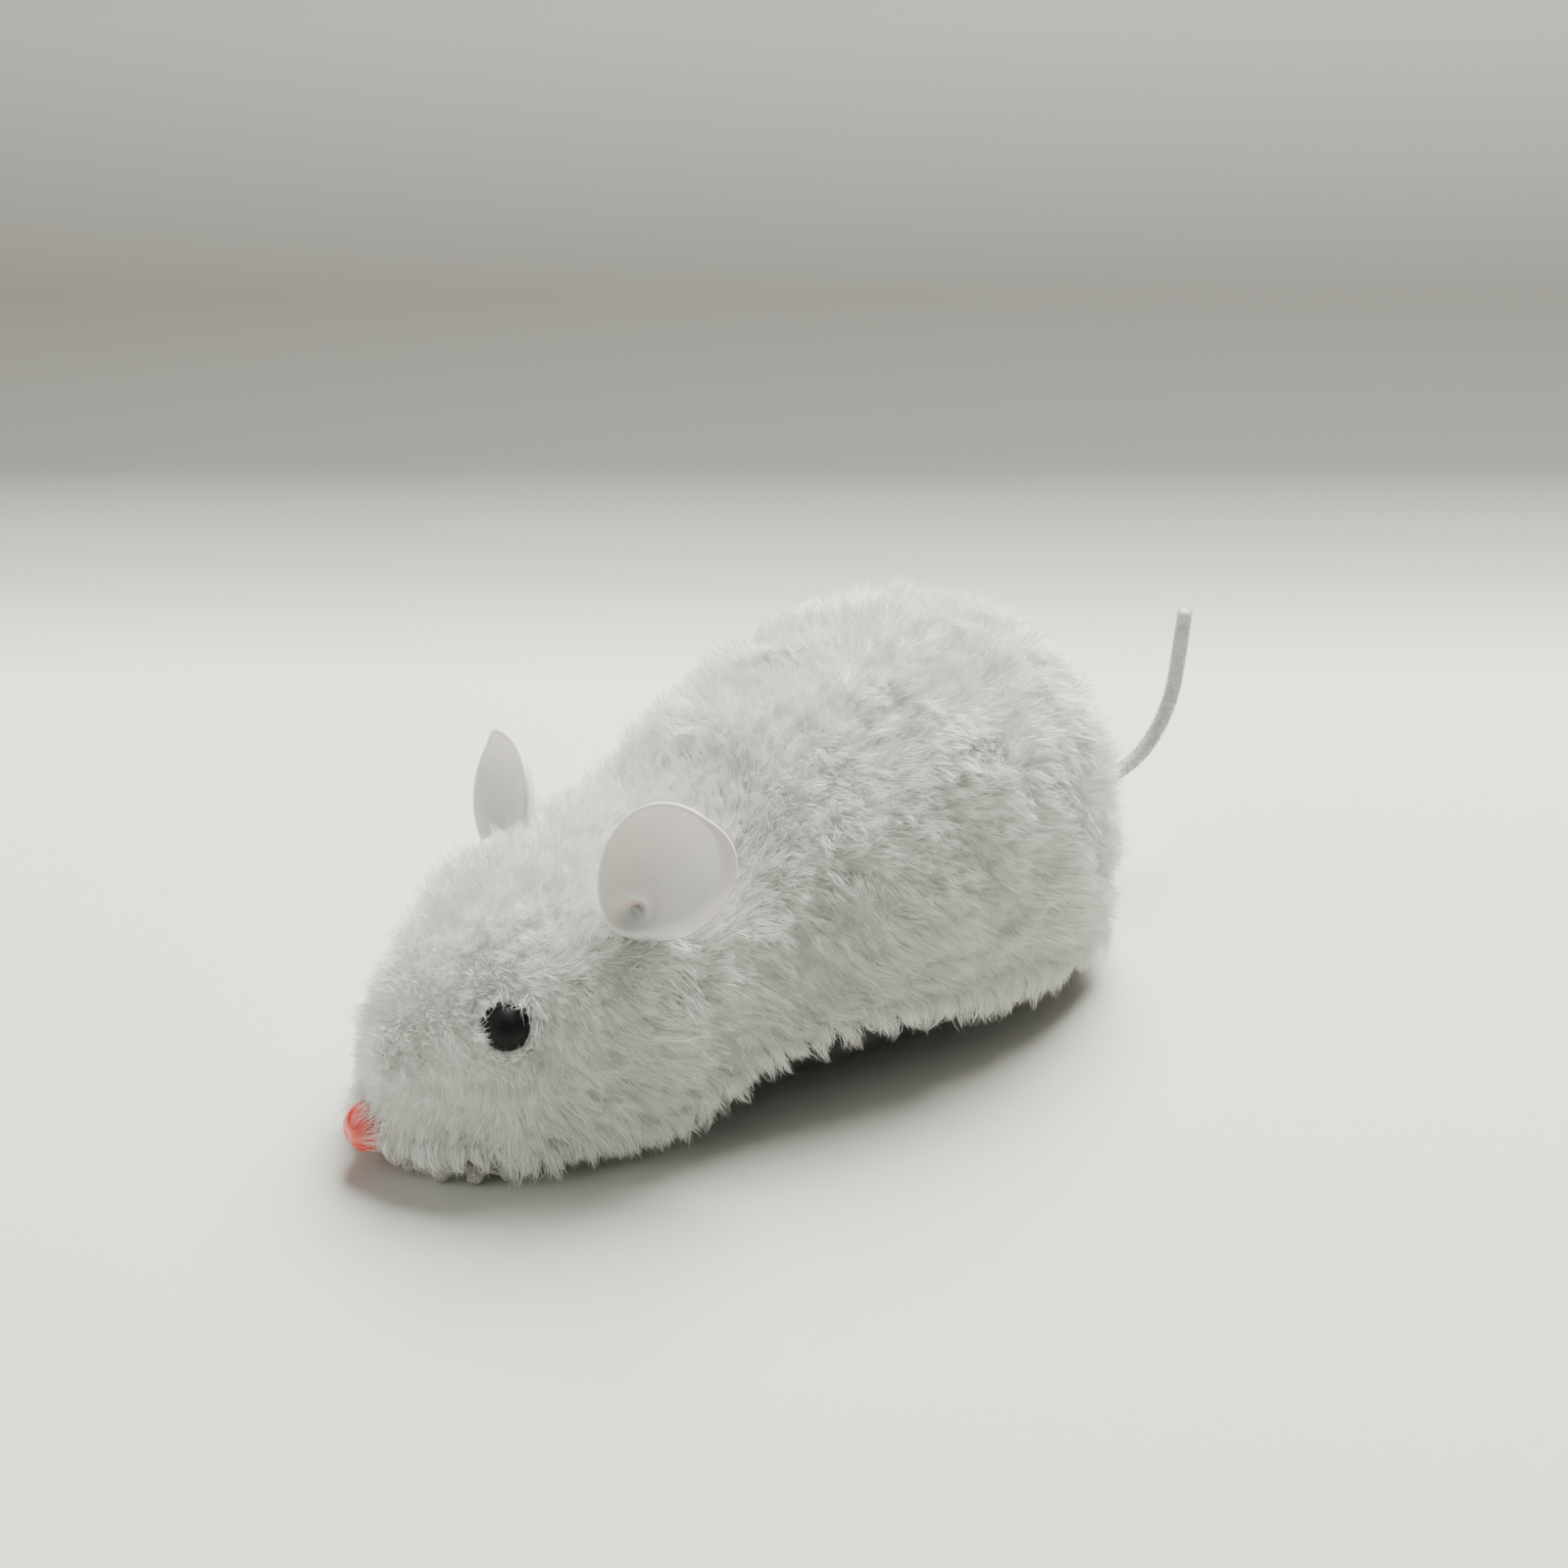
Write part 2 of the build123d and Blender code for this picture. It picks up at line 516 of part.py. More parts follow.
# ---------------------------------------------------------------- the whole mouse
def main():
    os.makedirs("parts", exist_ok=True)
    outside = body_form(0.0)
    plush_inside = body_form(PLUSH_THICKNESS)
    shell_outside = body_form(PLUSH_THICKNESS + GLUE_GAP)
    shell_inside = body_form(PLUSH_THICKNESS + GLUE_GAP + SHELL_THICKNESS)
    plate_form = body_form(PLUSH_THICKNESS + GLUE_GAP + SHELL_THICKNESS + PLATE_GAP)

    plush_holes = []
    shell_holes = []
    eyes = {}
    for name, side in (("left", 1), ("right", -1)):
        point, normal = surface_hit(shell_outside, *EYES[name], side)
        place = Plane(point + normal * 0.6, z_dir=normal)
        eyes[name] = place
        plush_holes.append(place * (Pos(0, 0, 1.5) * Cylinder(EYE_R + 0.1, 6.0)))
        shell_holes.append(place * Cylinder(1.1, 8.0))
    ears = {side: make_ear(side, plush_inside) for side in EARS}
    plush_holes += list(ears.values())
    nose_seat = Pos(0, NOSE_Y, NOSE_Z) * Sphere(NOSE_R + 0.1)
    plush_holes.append(nose_seat)
    shell_holes.append(nose_seat)
    nose_bore = Pos(0, NOSE_Y + 3.0, NOSE_Z) * Rot(90, 0, 0) * Cylinder(0.85, 9.0)
    plush_holes.append(nose_bore)
    shell_holes.append(nose_bore)
    start = Vector(*TAIL_POINTS[0])
    tail_way = Vector(*TAIL_POINTS[1]) - start
    tail_bore = Plane(start + tail_way.normalized() * 8.0, z_dir=tail_way) * Cylinder(TAIL_R + 0.1, 12.0)
    plush_holes.append(tail_bore)
    shell_holes.append(tail_bore)
    plush_holes.append(rod(3.0, GREAT_Y, GREAT_Z, (-40.0, 0.0)))
    shell_holes.append(rod(2.2, GREAT_Y, GREAT_Z, (-40.0, 0.0)))

    save(make_plush(outside, plush_inside, plush_holes), "fur_cover")
    save(make_shell(shell_outside, shell_inside, shell_holes), "body_shell")
    save(make_base_plate(plate_form), "base_plate")
    for name, place in eyes.items():
        save(make_eye(place), f"eye_{name}")
    save(Compound(children=[make_washer(place) for place in eyes.values()]), "eye_washers")
    for side, ear in ears.items():
        save(ear, f"ear_{side}")
    save(make_nose(), "nose")
    save(make_tail(), "tail")
    beads = [Pos(x, y, GLUE_TOP_Z - r) * Sphere(r) for x, y, r in GLUE_BEADS]
    save(Compound(children=beads), "glue_beads")

    base_screws = [make_screw(x, y, SHELL_EDGE_Z, PLATE_TOP_Z + 5.5, 2.1, SCREW_R, 0.9, True)
                   for x, y in BASE_SCREWS]
    save(Compound(children=base_screws), "base_screws")
    motor_screws = [make_screw(side * 10.8, y, 7.9, SHELL_EDGE_Z + 0.1, 1.4, 0.8, 0.8, False)
                    for side in (-1, 1) for y in FEET_Y]
    save(Compound(children=motor_screws), "motor_screws")
    save(make_frame_plate(PLATE_LEFT_X, 1), "frame_plate_left")
    save(make_frame_plate(PLATE_RIGHT_X, -1), "frame_plate_right")
    save(make_pillars(), "frame_pillars")

    save(rod(SHAFT_R, GREAT_Y, GREAT_Z, (KEY_BORE_X, PLATE_LEFT_X[1] + 0.8)), "winding_shaft")
    save(make_key(), "winding_key")
    save(make_ratchet(), "ratchet_wheel")
    save(make_mainspring(), "mainspring")
    save(make_great_gear(), "great_gear")
    save(rod(ARBOR_R, FIRST_Y, FIRST_Z, (PLATE_RIGHT_X[0], PLATE_LEFT_X[1])), "first_arbor")
    save(make_first_gear(), "first_gear")
    save(rod(ARBOR_R, SECOND_Y, SECOND_Z, (PLATE_RIGHT_X[0], PLATE_LEFT_X[1])), "second_arbor")
    save(make_second_gear(), "second_gear")
    save(rod(DRIVE_AXLE_R, DRIVE_Y, DRIVE_Z, (-WHEEL_X[1], WHEEL_X[1])), "drive_axle")
    save(make_drive_pinion(), "drive_pinion")
    for name, side in (("left", 1), ("right", -1)):
        save(make_rim(side), f"rear_wheel_{name}")
        save(make_tyre(side), f"tyre_{name}")
    save(rod(FRONT_AXLE_R, FRONT_WHEEL_Y, FRONT_WHEEL_R, (-FRONT_LUG_X[1], FRONT_LUG_X[1])), "front_axle")
    save(make_front_wheel(), "front_wheel")


main()
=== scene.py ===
"""Looks of the clockwork plush mouse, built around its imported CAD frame.

Metres, in the CAD's frame: the mouse faces -Y, its left side is +X, +Z is up. Sizes below are in
millimetres unless a comment says otherwise, and MM turns them into metres.
"""
import json
from math import cos, pi, radians, sin

import bmesh
import bpy
import numpy as np
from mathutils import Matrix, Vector
from mathutils.kdtree import KDTree


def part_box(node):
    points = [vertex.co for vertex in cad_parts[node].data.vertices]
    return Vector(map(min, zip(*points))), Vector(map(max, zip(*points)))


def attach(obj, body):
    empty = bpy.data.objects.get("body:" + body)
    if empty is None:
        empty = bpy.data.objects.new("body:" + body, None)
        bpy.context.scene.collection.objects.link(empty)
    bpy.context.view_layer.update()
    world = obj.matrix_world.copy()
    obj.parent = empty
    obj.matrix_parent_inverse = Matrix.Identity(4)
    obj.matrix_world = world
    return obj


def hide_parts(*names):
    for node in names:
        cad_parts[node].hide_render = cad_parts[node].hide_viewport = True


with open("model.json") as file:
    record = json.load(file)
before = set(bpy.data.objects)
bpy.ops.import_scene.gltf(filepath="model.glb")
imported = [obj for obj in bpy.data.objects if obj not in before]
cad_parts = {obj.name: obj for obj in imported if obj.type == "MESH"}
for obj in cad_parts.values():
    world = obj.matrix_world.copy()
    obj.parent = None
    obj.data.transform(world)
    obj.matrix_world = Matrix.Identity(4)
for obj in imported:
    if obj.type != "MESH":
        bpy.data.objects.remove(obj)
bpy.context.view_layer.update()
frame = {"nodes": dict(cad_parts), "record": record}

MM = 0.001
BODY = "chassis"
rng = np.random.default_rng(11)

# ---------------------------------------------------------------- driving values
SKIN_VOXEL = 0.7
PILE_DEPTH = 1.9            # how far the cloth backing lies under the plush's outside
STRANDS = 236000
CLUMPS = 21000
STRAND_WIDTH = 0.040        # half width of a fibre at its root
FUR_PIECES = 7
FREE_SHARE = 0.12           # share of the fibres that keep out of the clumps
FRINGE_STRANDS = 20000
FRINGE_TUFTS = 560
EYE_RIM_STRANDS = 330       # for each eye
MUZZLE_STRANDS = 320
LOWEST_TIP = 0.3            # lowest height that a fibre's tip may reach

EYE_R = 3.0
EYE_CLEAR_R = 2.7           # radius kept free of the pile in front of each eye
KEY_CLEAR_R = 3.9           # and round the winding key's hub

EARS = {
    # side: (centre of the rim, way the cup faces, outward lean in degrees), as in the CAD
    "left": ((17.6, -21.4, 38.4), (0.52, -0.80, 0.22), -24.0),
    "right": ((-18.0, -23.0, 32.5), (-0.14, -0.93, 0.26), 12.0),
}
EAR_R, EAR_DEPTH, EAR_THICKNESS = 8.9, 4.4, 0.8
# breadth and height of each soft cup, as shares of EAR_R
EAR_SHAPE = {"left": (0.83, 1.09), "right": (1.06, 1.0)}
# soft dents and swells of the stuffed plush: centre, radius, height along the surface normal
SWELLS = [
    ((14.0, 17.0, 46.0), 5.5, -1.3),
    ((2.0, 30.0, 50.0), 9.0, 0.9),
    ((22.0, -9.5, 30.0), 4.0, 0.9),
    ((24.0, -2.0, 18.0), 4.5, -0.7),
    ((-20.0, 14.0, 36.0), 7.0, -0.7),
    ((-13.5, -27.0, 29.5), 7.0, 1.8),
    ((-23.0, -6.0, 22.0), 5.0, -0.6),
]
# a ridge of longer, ruffled pile where the head part meets the body part, down each side
RIDGE = [(21.0, -13.0, 34.0), (23.5, -9.5, 27.0), (24.5, -5.0, 19.0), (24.5, -6.0, 11.0)]

TAIL_ROUTE = [(0, 47.6, 13.3), (0, 58.0, 13.9), (0, 69.5, 14.7), (0, 75.0, 22.0), (0, 75.9, 31.0),
              (0, 76.3, 36.4)]
TAIL_CORE_R = 0.84
FLOCK_STRANDS = 15000

CAMERA_TARGET = (0.0, 2.0, 20.0)
CAMERA_AZIMUTH, CAMERA_ELEVATION, CAMERA_DISTANCE = 54.6, 32.4, 429.0
CAMERA_LENS, CAMERA_SHIFT = 77.97, (0.0314, 0.0639)

FLOOR_HALF = 3.0            # metres
# the floor's colour by distance behind the mouse, in metres: painted shade, darkening where a sweep's far
# wall would lie in shade
FLOOR_PAINTED_SHADE_STOPS = [(0.0, (0.70, 0.69, 0.635)), (0.09, (0.69, 0.68, 0.625)), (0.125, (0.34, 0.335, 0.308)),
               (0.165, (0.115, 0.113, 0.102)), (0.24, (0.085, 0.083, 0.074)), (0.40, (0.15, 0.147, 0.133))]
KEY_POWER, KEY_SIZE = 34.0, 0.58
FILL_POWER, FILL_SIZE = 2.2, 0.6
WORLD_STRENGTH = 0.22


# ---------------------------------------------------------------- numbers
def unit(v):
    v = np.asarray(v, float)
    return v / np.maximum(np.linalg.norm(v, axis=-1, keepdims=True), 1e-12)


def dot(a, b):
    return np.sum(a * b, axis=-1, keepdims=True)


def smooth(x, low, high):
    t = np.clip((x - low) / (high - low), 0, 1)
    return t * t * (3 - 2 * t)


def waves(points, wavelength, seed):
    """Smooth noise, mostly within -1..1, made of ten plane waves."""
    g = np.random.default_rng(seed)
    ways = unit(g.normal(size=(10, 3))) * (2 * pi / wavelength * g.uniform(0.6, 1.5, (10, 1)))
    phases = g.uniform(0, 2 * pi, 10)
    return np.sin(points @ ways.T + phases).sum(axis=1) / 3.2


def wave_vectors(points, wavelength, seed):
    return np.stack([waves(points, wavelength, seed + i) for i in range(3)], axis=1)


def turned(v, axis, angle):
    """Each vector v turned about its unit axis by its angle, in radians."""
    c, s = np.cos(angle)[:, None], np.sin(angle)[:, None]
    return v * c + np.cross(axis, v) * s + axis * dot(axis, v) * (1 - c)


def node_points(name):
    mesh = frame["nodes"][name].data
    co = np.empty(len(mesh.vertices) * 3)
    mesh.vertices.foreach_get("co", co)
    return co.reshape(-1, 3) / MM


def dome_frame(name):
    """A round CAD piece's axis, pointing out of the mouse, and its outermost point."""
    points = node_points(name)
    spread = points - points.mean(axis=0)
    values, vectors = np.linalg.eigh(spread.T @ spread)
    gaps = [abs(values[1] - values[2]), abs(values[0] - values[2]), abs(values[0] - values[1])]
    axis = vectors[:, int(np.argmin(gaps))]
    if axis[0] * points[:, 0].mean() < 0:
        axis = -axis
    u = unit(np.cross((0, 0, 1), axis))
    v = np.cross(axis, u)
    along = points @ axis
    across = [(points @ way).max() + (points @ way).min() for way in (u, v)]
    pole = axis * along.max() + u * across[0] / 2 + v * across[1] / 2
    return pole, u, v, axis


# ---------------------------------------------------------------- materials
def new_material(name):
    material = bpy.data.materials.new(name)
    material.use_nodes = True
    return material, material.node_tree.nodes, material.node_tree.links


def shader(material):
    return material.node_tree.nodes["Principled BSDF"]


def set_inputs(material, **values):
    for name, value in values.items():
        socket = shader(material).inputs[name.replace("_", " ")]
        socket.default_value = (*value, 1.0) if isinstance(value, tuple) else value


def noise(nodes, links, scale, detail=4.0, roughness=0.6, stretch=(1, 1, 1)):
    """A noise texture in object space; scale is in cycles per metre."""
    place = nodes.new("ShaderNodeTexCoord")
    mapping = nodes.new("ShaderNodeMapping")
    mapping.inputs["Scale"].default_value = stretch
    texture = nodes.new("ShaderNodeTexNoise")
    texture.inputs["Scale"].default_value = scale
    texture.inputs["Detail"].default_value = detail
    texture.inputs["Roughness"].default_value = roughness
    links.new(place.outputs["Object"], mapping.inputs["Vector"])
    links.new(mapping.outputs["Vector"], texture.inputs["Vector"])
    return texture.outputs["Fac"]


def ramp(nodes, links, value, stops):
    node = nodes.new("ShaderNodeValToRGB")
    elements = node.color_ramp.elements
    while len(elements) < len(stops):
        elements.new(0.5)
    for element, (place, colour) in zip(elements, stops):
        element.position = place
        element.color = (*colour, 1.0)
    links.new(value, node.inputs["Fac"])
    return node.outputs["Color"]


def add_bump(material, height, strength, distance):
    nodes, links = material.node_tree.nodes, material.node_tree.links
    bump = nodes.new("ShaderNodeBump")
    bump.inputs["Strength"].default_value = strength
    bump.inputs["Distance"].default_value = distance * MM
    links.new(height, bump.inputs["Height"])
    links.new(bump.outputs["Normal"], shader(material).inputs["Normal"])


def surface(name, dark, light, scale, rough, grain, bump, stretch=(1, 1, 1), **sockets):
    """A material with two-tone mottling, uneven gloss and a fine grain.

    scale and grain are in cycles per millimetre; rough and bump are (lowest, highest) roughness
    and (strength, distance in mm)."""
    material, nodes, links = new_material(name)
    mottle = noise(nodes, links, scale / MM, stretch=stretch)
    links.new(ramp(nodes, links, mottle, [(0.3, dark), (0.7, light)]), shader(material).inputs["Base Color"])
    fine = noise(nodes, links, grain / MM, 6.0, 0.7, stretch)
    gloss = ramp(nodes, links, fine, [(0.25, (rough[0],) * 3), (0.8, (rough[1],) * 3)])
    links.new(gloss, shader(material).inputs["Roughness"])
    add_bump(material, fine, *bump)
    set_inputs(material, **sockets)
    return material


def fibre(name, colour):
    """One tone of the plush's fibres. The tones differ from strand to strand."""
    material, _, _ = new_material(name)
    set_inputs(material, Base_Color=colour, Roughness=0.62, Specular_IOR_Level=0.35,
               Sheen_Weight=0.25, Sheen_Roughness=0.5)
    return material


FIBRES = [
    fibre("plush_fibre_bright", (0.98, 0.98, 0.94)),
    fibre("plush_fibre_white", (0.955, 0.96, 0.915)),
    fibre("plush_fibre_soft", (0.925, 0.93, 0.885)),
    fibre("plush_fibre_shade", (0.865, 0.875, 0.83)),
]
FIBRE_SHARES = (0.28, 0.36, 0.24, 0.12)
PLUSH_SKIN = surface("plush_backing", (0.74, 0.74, 0.72), (0.86, 0.86, 0.845), 0.6, (0.85, 0.97), 6.0,
                     (0.6, 0.15), Sheen_Weight=0.3)
EAR_SOFT = surface("ear_soft_vinyl", (0.69, 0.71, 0.68), (0.77, 0.79, 0.76), 0.18, (0.50, 0.66), 7.0,
                   (0.12, 0.03), Subsurface_Weight=0.25, Subsurface_Scale=0.0012, Sheen_Weight=0.12)
EYE_BLACK = surface("eye_black_plastic", (0.002, 0.002, 0.0025), (0.006, 0.006, 0.0065), 0.8,
                    (0.48, 0.62), 9.0, (0.05, 0.015), Specular_IOR_Level=0.18)
NOSE_RED = surface("nose_red_plastic", (0.62, 0.020, 0.008), (0.80, 0.040, 0.016), 0.7, (0.18, 0.32), 8.0,
                   (0.06, 0.02), Subsurface_Weight=0.15, Subsurface_Scale=0.001, Coat_Weight=0.3)
TAIL_CORE = surface("tail_cord", (0.58, 0.58, 0.56), (0.72, 0.72, 0.70), 1.2, (0.8, 0.95), 6.0, (0.6, 0.08))
FLOCK = [fibre("tail_flock_light", (0.82, 0.82, 0.80)), fibre("tail_flock_grey", (0.66, 0.66, 0.64))]
GLUE = surface("hot_glue", (0.66, 0.65, 0.61), (0.80, 0.79, 0.75), 0.6, (0.18, 0.34), 3.0, (0.15, 0.05),
               Transmission_Weight=0.55, IOR=1.48, Subsurface_Weight=0.2, Subsurface_Scale=0.001)

CAD_LOOKS = {
    "black_plastic": surface("moulded_black_plastic", (0.012, 0.012, 0.013), (0.026, 0.026, 0.027), 0.25,
                             (0.34, 0.52), 5.0, (0.25, 0.03)),
    "tyre_rubber": surface("tyre_rubber_black", (0.016, 0.016, 0.016), (0.036, 0.035, 0.034), 0.35,
                           (0.62, 0.85), 4.0, (0.4, 0.05)),
    "white_nylon": surface("white_nylon_moulded", (0.68, 0.67, 0.62), (0.80, 0.79, 0.75), 0.3,
                           (0.30, 0.46), 4.0, (0.12, 0.02), Subsurface_Weight=0.1, Subsurface_Scale=0.0008),
    "frame_steel": surface("plated_steel", (0.50, 0.50, 0.51), (0.66, 0.66, 0.66), 0.5,
                           (0.22, 0.42), 3.0, (0.15, 0.02), (1, 1, 6), Metallic=1.0),
    "screw_steel": surface("zinc_screw_steel", (0.46, 0.46, 0.47), (0.62, 0.62, 0.60), 1.2,
                           (0.26, 0.48), 6.0, (0.2, 0.02), Metallic=1.0),
    "spring_steel": surface("blued_spring_steel", (0.10, 0.12, 0.17), (0.24, 0.25, 0.28), 0.6,
                            (0.20, 0.38), 4.0, (0.1, 0.01), (6, 1, 1), Metallic=1.0),
    "motor_plastic": surface("motor_grey_plastic", (0.40, 0.41, 0.41), (0.55, 0.56, 0.56), 0.3,
                             (0.36, 0.55), 5.0, (0.2, 0.02)),
}


# ---------------------------------------------------------------- meshes
def build_object(name, verts, faces, materials):
    """A mesh from points in mm and face lists, riding on the chassis."""
    mesh = bpy.data.meshes.new(name)
    mesh.from_pydata([tuple(p) for p in np.asarray(verts) * MM], [], faces)
    mesh.validate()
    return finish_object(name, mesh, materials)


def finish_object(name, mesh, materials):
    """The smooth-shaded object of a mesh, with its materials, riding on its body."""
    for material in materials:
        mesh.materials.append(material)
    mesh.shade_smooth()
    piece = bpy.data.objects.new(name, mesh)
    bpy.context.scene.collection.objects.link(piece)
    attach(piece, BODY)
    return piece


def grid_faces(rows, columns):
    """Quads of a grid whose columns close into a ring."""
    faces = []
    for i in range(rows - 1):
        for j in range(columns):
            k = (j + 1) % columns
            a, b = i * columns, (i + 1) * columns
            faces.append((a + j, a + k, b + k, b + j))
    return faces


def capped_rings(rings):
    """Points and faces of a stack of rings with both ends closed by a fan of triangles."""
    rows, columns = len(rings), len(rings[0])
    verts = [tuple(p) for ring in rings for p in ring]
    faces = grid_faces(rows, columns)
    for row, turn in ((0, -1), (rows - 1, 1)):
        middle = len(verts)
        verts.append(tuple(np.mean(rings[row], axis=0)))
        for j in range(columns):
            pair = (row * columns + j, row * columns + (j + 1) % columns)
            faces.append((middle, *pair[::turn]))
    return verts, faces


def lathe(profile, origin, u, v, axis, segments):
    """Rings of (radius, height) turned about axis through origin."""
    angles = np.arange(segments) * 2 * pi / segments
    ring = np.cos(angles)[:, None] * u + np.sin(angles)[:, None] * v
    return [origin + axis * height + ring * radius for radius, height in profile]


def tube_frames(points):
    """Two steady side vectors at each point of a line, square to it."""
    tangents = unit(np.gradient(points, axis=0))
    side = unit(np.cross(tangents[0], (1, 0.2, 0.1)))
    sides = []
    for tangent in tangents:
        side = unit(side - tangent * (side @ tangent))
        sides.append(side)
    sides = np.array(sides)
    return sides, np.cross(tangents, sides)


def strand_object(name, points, side, width, tone, materials):
    """Flat tapered fibres: points is (n, 4, 3), side and width give each fibre's breadth."""
    n = len(points)
    breadth = side[:, None, :] * (width[:, None] * np.array([1.0, 0.92, 0.62]))[:, :, None]
    verts = np.empty((n, 7, 3))
    verts[:, 0:6:2] = points[:, :3] - breadth
    verts[:, 1:6:2] = points[:, :3] + breadth
    verts[:, 6] = points[:, 3]
    corners = np.array([0, 1, 3, 2, 2, 3, 5, 4, 4, 5, 6])
    loops = np.arange(n)[:, None] * 7 + corners
    starts = np.arange(n)[:, None] * len(corners) + np.array([0, 4, 8])
    mesh = bpy.data.meshes.new(name)
    mesh.vertices.add(n * 7)
    mesh.vertices.foreach_set("co", (verts * MM).astype(np.float32).ravel())
    mesh.loops.add(loops.size)
    mesh.loops.foreach_set("vertex_index", loops.astype(np.int32).ravel())
    mesh.polygons.add(n * 3)
    mesh.polygons.foreach_set("loop_start", starts.astype(np.int32).ravel())
    mesh.polygons.foreach_set("material_index", np.repeat(tone, 3).astype(np.int32))
    mesh.update(calc_edges=True)
    return finish_object(name, mesh, materials)


# ---------------------------------------------------------------- the plush's backing
def outward(points):
    """Away from the body's own middle line, which runs along Y."""
    middle = np.stack([0 * points[:, 0], np.clip(points[:, 1], -36, 38), 0 * points[:, 0] + 15], axis=1)
    return unit(points - middle)


def swell(points):
    """How far the stuffed cloth stands out or dips in, along its normal."""
    rise = 0.30 * waves(points, 11.0, 21) + 0.16 * waves(points, 5.0, 22)
    for centre, radius, height in SWELLS:
        away = np.linalg.norm(points - np.array(centre), axis=1)
        rise = rise + height * np.exp(-(away / radius) ** 2)
    return rise


def make_skin(eyes):
    """The cloth under the pile: the CAD cover, evened out, thinned from outside and lumpy."""
    mesh = frame["nodes"]["fur_cover"].data.copy()
    piece = bpy.data.objects.new("fur_backing", mesh)
    bpy.context.scene.collection.objects.link(piece)
    remesh = piece.modifiers.new("even", "REMESH")
    remesh.mode = "VOXEL"
    remesh.voxel_size = SKIN_VOXEL * MM
    relax = piece.modifiers.new("relax", "SMOOTH")
    relax.factor, relax.iterations = 0.5, 4
    bpy.context.view_layer.update()
    done = bpy.data.meshes.new_from_object(piece.evaluated_get(bpy.context.evaluated_depsgraph_get()))
    bpy.data.objects.remove(piece)

    count = len(done.vertices)
    co, no = np.empty(count * 3), np.empty(count * 3)
    done.vertices.foreach_get("co", co)
    done.vertex_normals.foreach_get("vector", no)
    points, normals = co.reshape(-1, 3) / MM, no.reshape(-1, 3)
    outer = smooth(dot(normals, outward(points))[:, 0], 0.15, 0.55)
    moved = points - normals * (outer * (PILE_DEPTH - swell(points)))[:, None]
    for pole, _, _, axis in eyes:
        along = (points - pole) @ axis
        off = np.linalg.norm(points - pole - along[:, None] * axis, axis=1)
        hole_edge = (1 - smooth(off, EYE_R + 0.5, EYE_R + 1.6)) * smooth(along, -3.4, -1.6) * (1 - outer)
        moved -= axis * (hole_edge * PILE_DEPTH)[:, None]
    done.vertices.foreach_set("co", (moved * MM).ravel())
    done.update()
    done.materials.clear()
    skin = finish_object("fur_backing", done, [PLUSH_SKIN])
    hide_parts("fur_cover")

    done.calc_loop_triangles()
    triangles = np.empty(len(done.loop_triangles) * 3, np.int32)
    done.loop_triangles.foreach_get("vertices", triangles)
    return moved, normals, outer, triangles.reshape(-1, 3)


def scatter(weights, corners, count):
    """Random points over triangles, as (triangle, barycentric weights)."""
    a, b, c = (corners[:, i] for i in range(3))
    area = np.linalg.norm(np.cross(b - a, c - a), axis=1) * weights
    picked = rng.choice(len(area), count, p=area / area.sum())
    r1, r2 = np.sqrt(rng.random(count)), rng.random(count)
    return picked, np.stack([1 - r1, r1 * (1 - r2), r1 * r2], axis=1)


# ---------------------------------------------------------------- how the pile lies
def ridge_nearness(points):
    """1 on the ruffled ridge behind the ears, falling to 0 about 4 mm away."""
    line = np.array(RIDGE)
    mirrored = np.abs(points) * (1, 0, 0) + points * (0, 1, 1)
    best = np.full(len(points), 1e9)
    for a, b in zip(line[:-1], line[1:]):
        t = np.clip((mirrored - a) @ (b - a) / ((b - a) @ (b - a)), 0, 1)
        best = np.minimum(best, np.linalg.norm(mirrored - a - t[:, None] * (b - a), axis=1))
    return 1 - smooth(best, 0.5, 4.0)


def comb(points, normals):
    """The way the pile leans: back along the body and down its sides, with swirls."""
    low = 1 - smooth(points[:, 2], 3.0, 14.0)
    back = np.stack([0.25 * np.sign(points[:, 0]), 0 * low + 0.75, -0.45 - 0.8 * low], axis=1)
    way = back + 0.7 * wave_vectors(points, 17.0, 41) + 0.32 * wave_vectors(points, 6.0, 51)
    way[:, 2] -= 0.5 * low
    return unit(way - normals * dot(way, normals))


def pile_length(points):
    """Fibre length: shorter on the snout, the head and the crown of the back, longer on the ridge."""
    length = 3.0 + 0.3 * waves(points, 12.0, 61) + 0.3 * waves(points, 4.0, 62)
    length = length - 0.8 * (1 - smooth(points[:, 1], -46, -26))
    length = length - 0.5 * (1 - smooth(points[:, 1], -53, -47))
    length = length - 0.45 * smooth(points[:, 2], 36, 46)
    return length + 1.5 * ridge_nearness(points)


def bent(root, start_way, end):
    """Fibres as four points on a curve that leaves root along start_way and ends at end."""
    middle = root + start_way * (np.linalg.norm(end - root, axis=1) * 0.55)[:, None]
    s = np.array([0.0, 0.38, 0.72, 1.0])[None, :, None]
    return root[:, None] * (1 - s) ** 2 + 2 * middle[:, None] * s * (1 - s) + end[:, None] * s ** 2


def breadth_ways(points, normals, spread):
    """Side vectors that turn a fibre's flat face out of the plush, give or take spread radians."""
    along = unit(points[:, 3] - points[:, 0])
    side = np.cross(along, normals)
    weak = np.linalg.norm(side, axis=1) < 0.05
    side[weak] = np.cross(along[weak], (0.3, 0.2, 0.9))
    return turned(unit(side), along, rng.normal(0, spread, len(along)))


def ear_axes(side):
    """An ear's rim centre, its breadth and height ways, and the way its cup faces."""
    centre, facing, lean = EARS[side]
    w = unit(facing)
    up = unit(np.array((0, 0, 1.0)) - w * w[2])
    up = turned(up[None], w[None], np.array([radians(lean)]))[0]
    return np.array(centre), np.cross(up, w), up, w


def bowl(rho):
    """Depth of an ear's cup at a share rho of its radius."""
    return -EAR_DEPTH * (1 - rho ** 2.2)


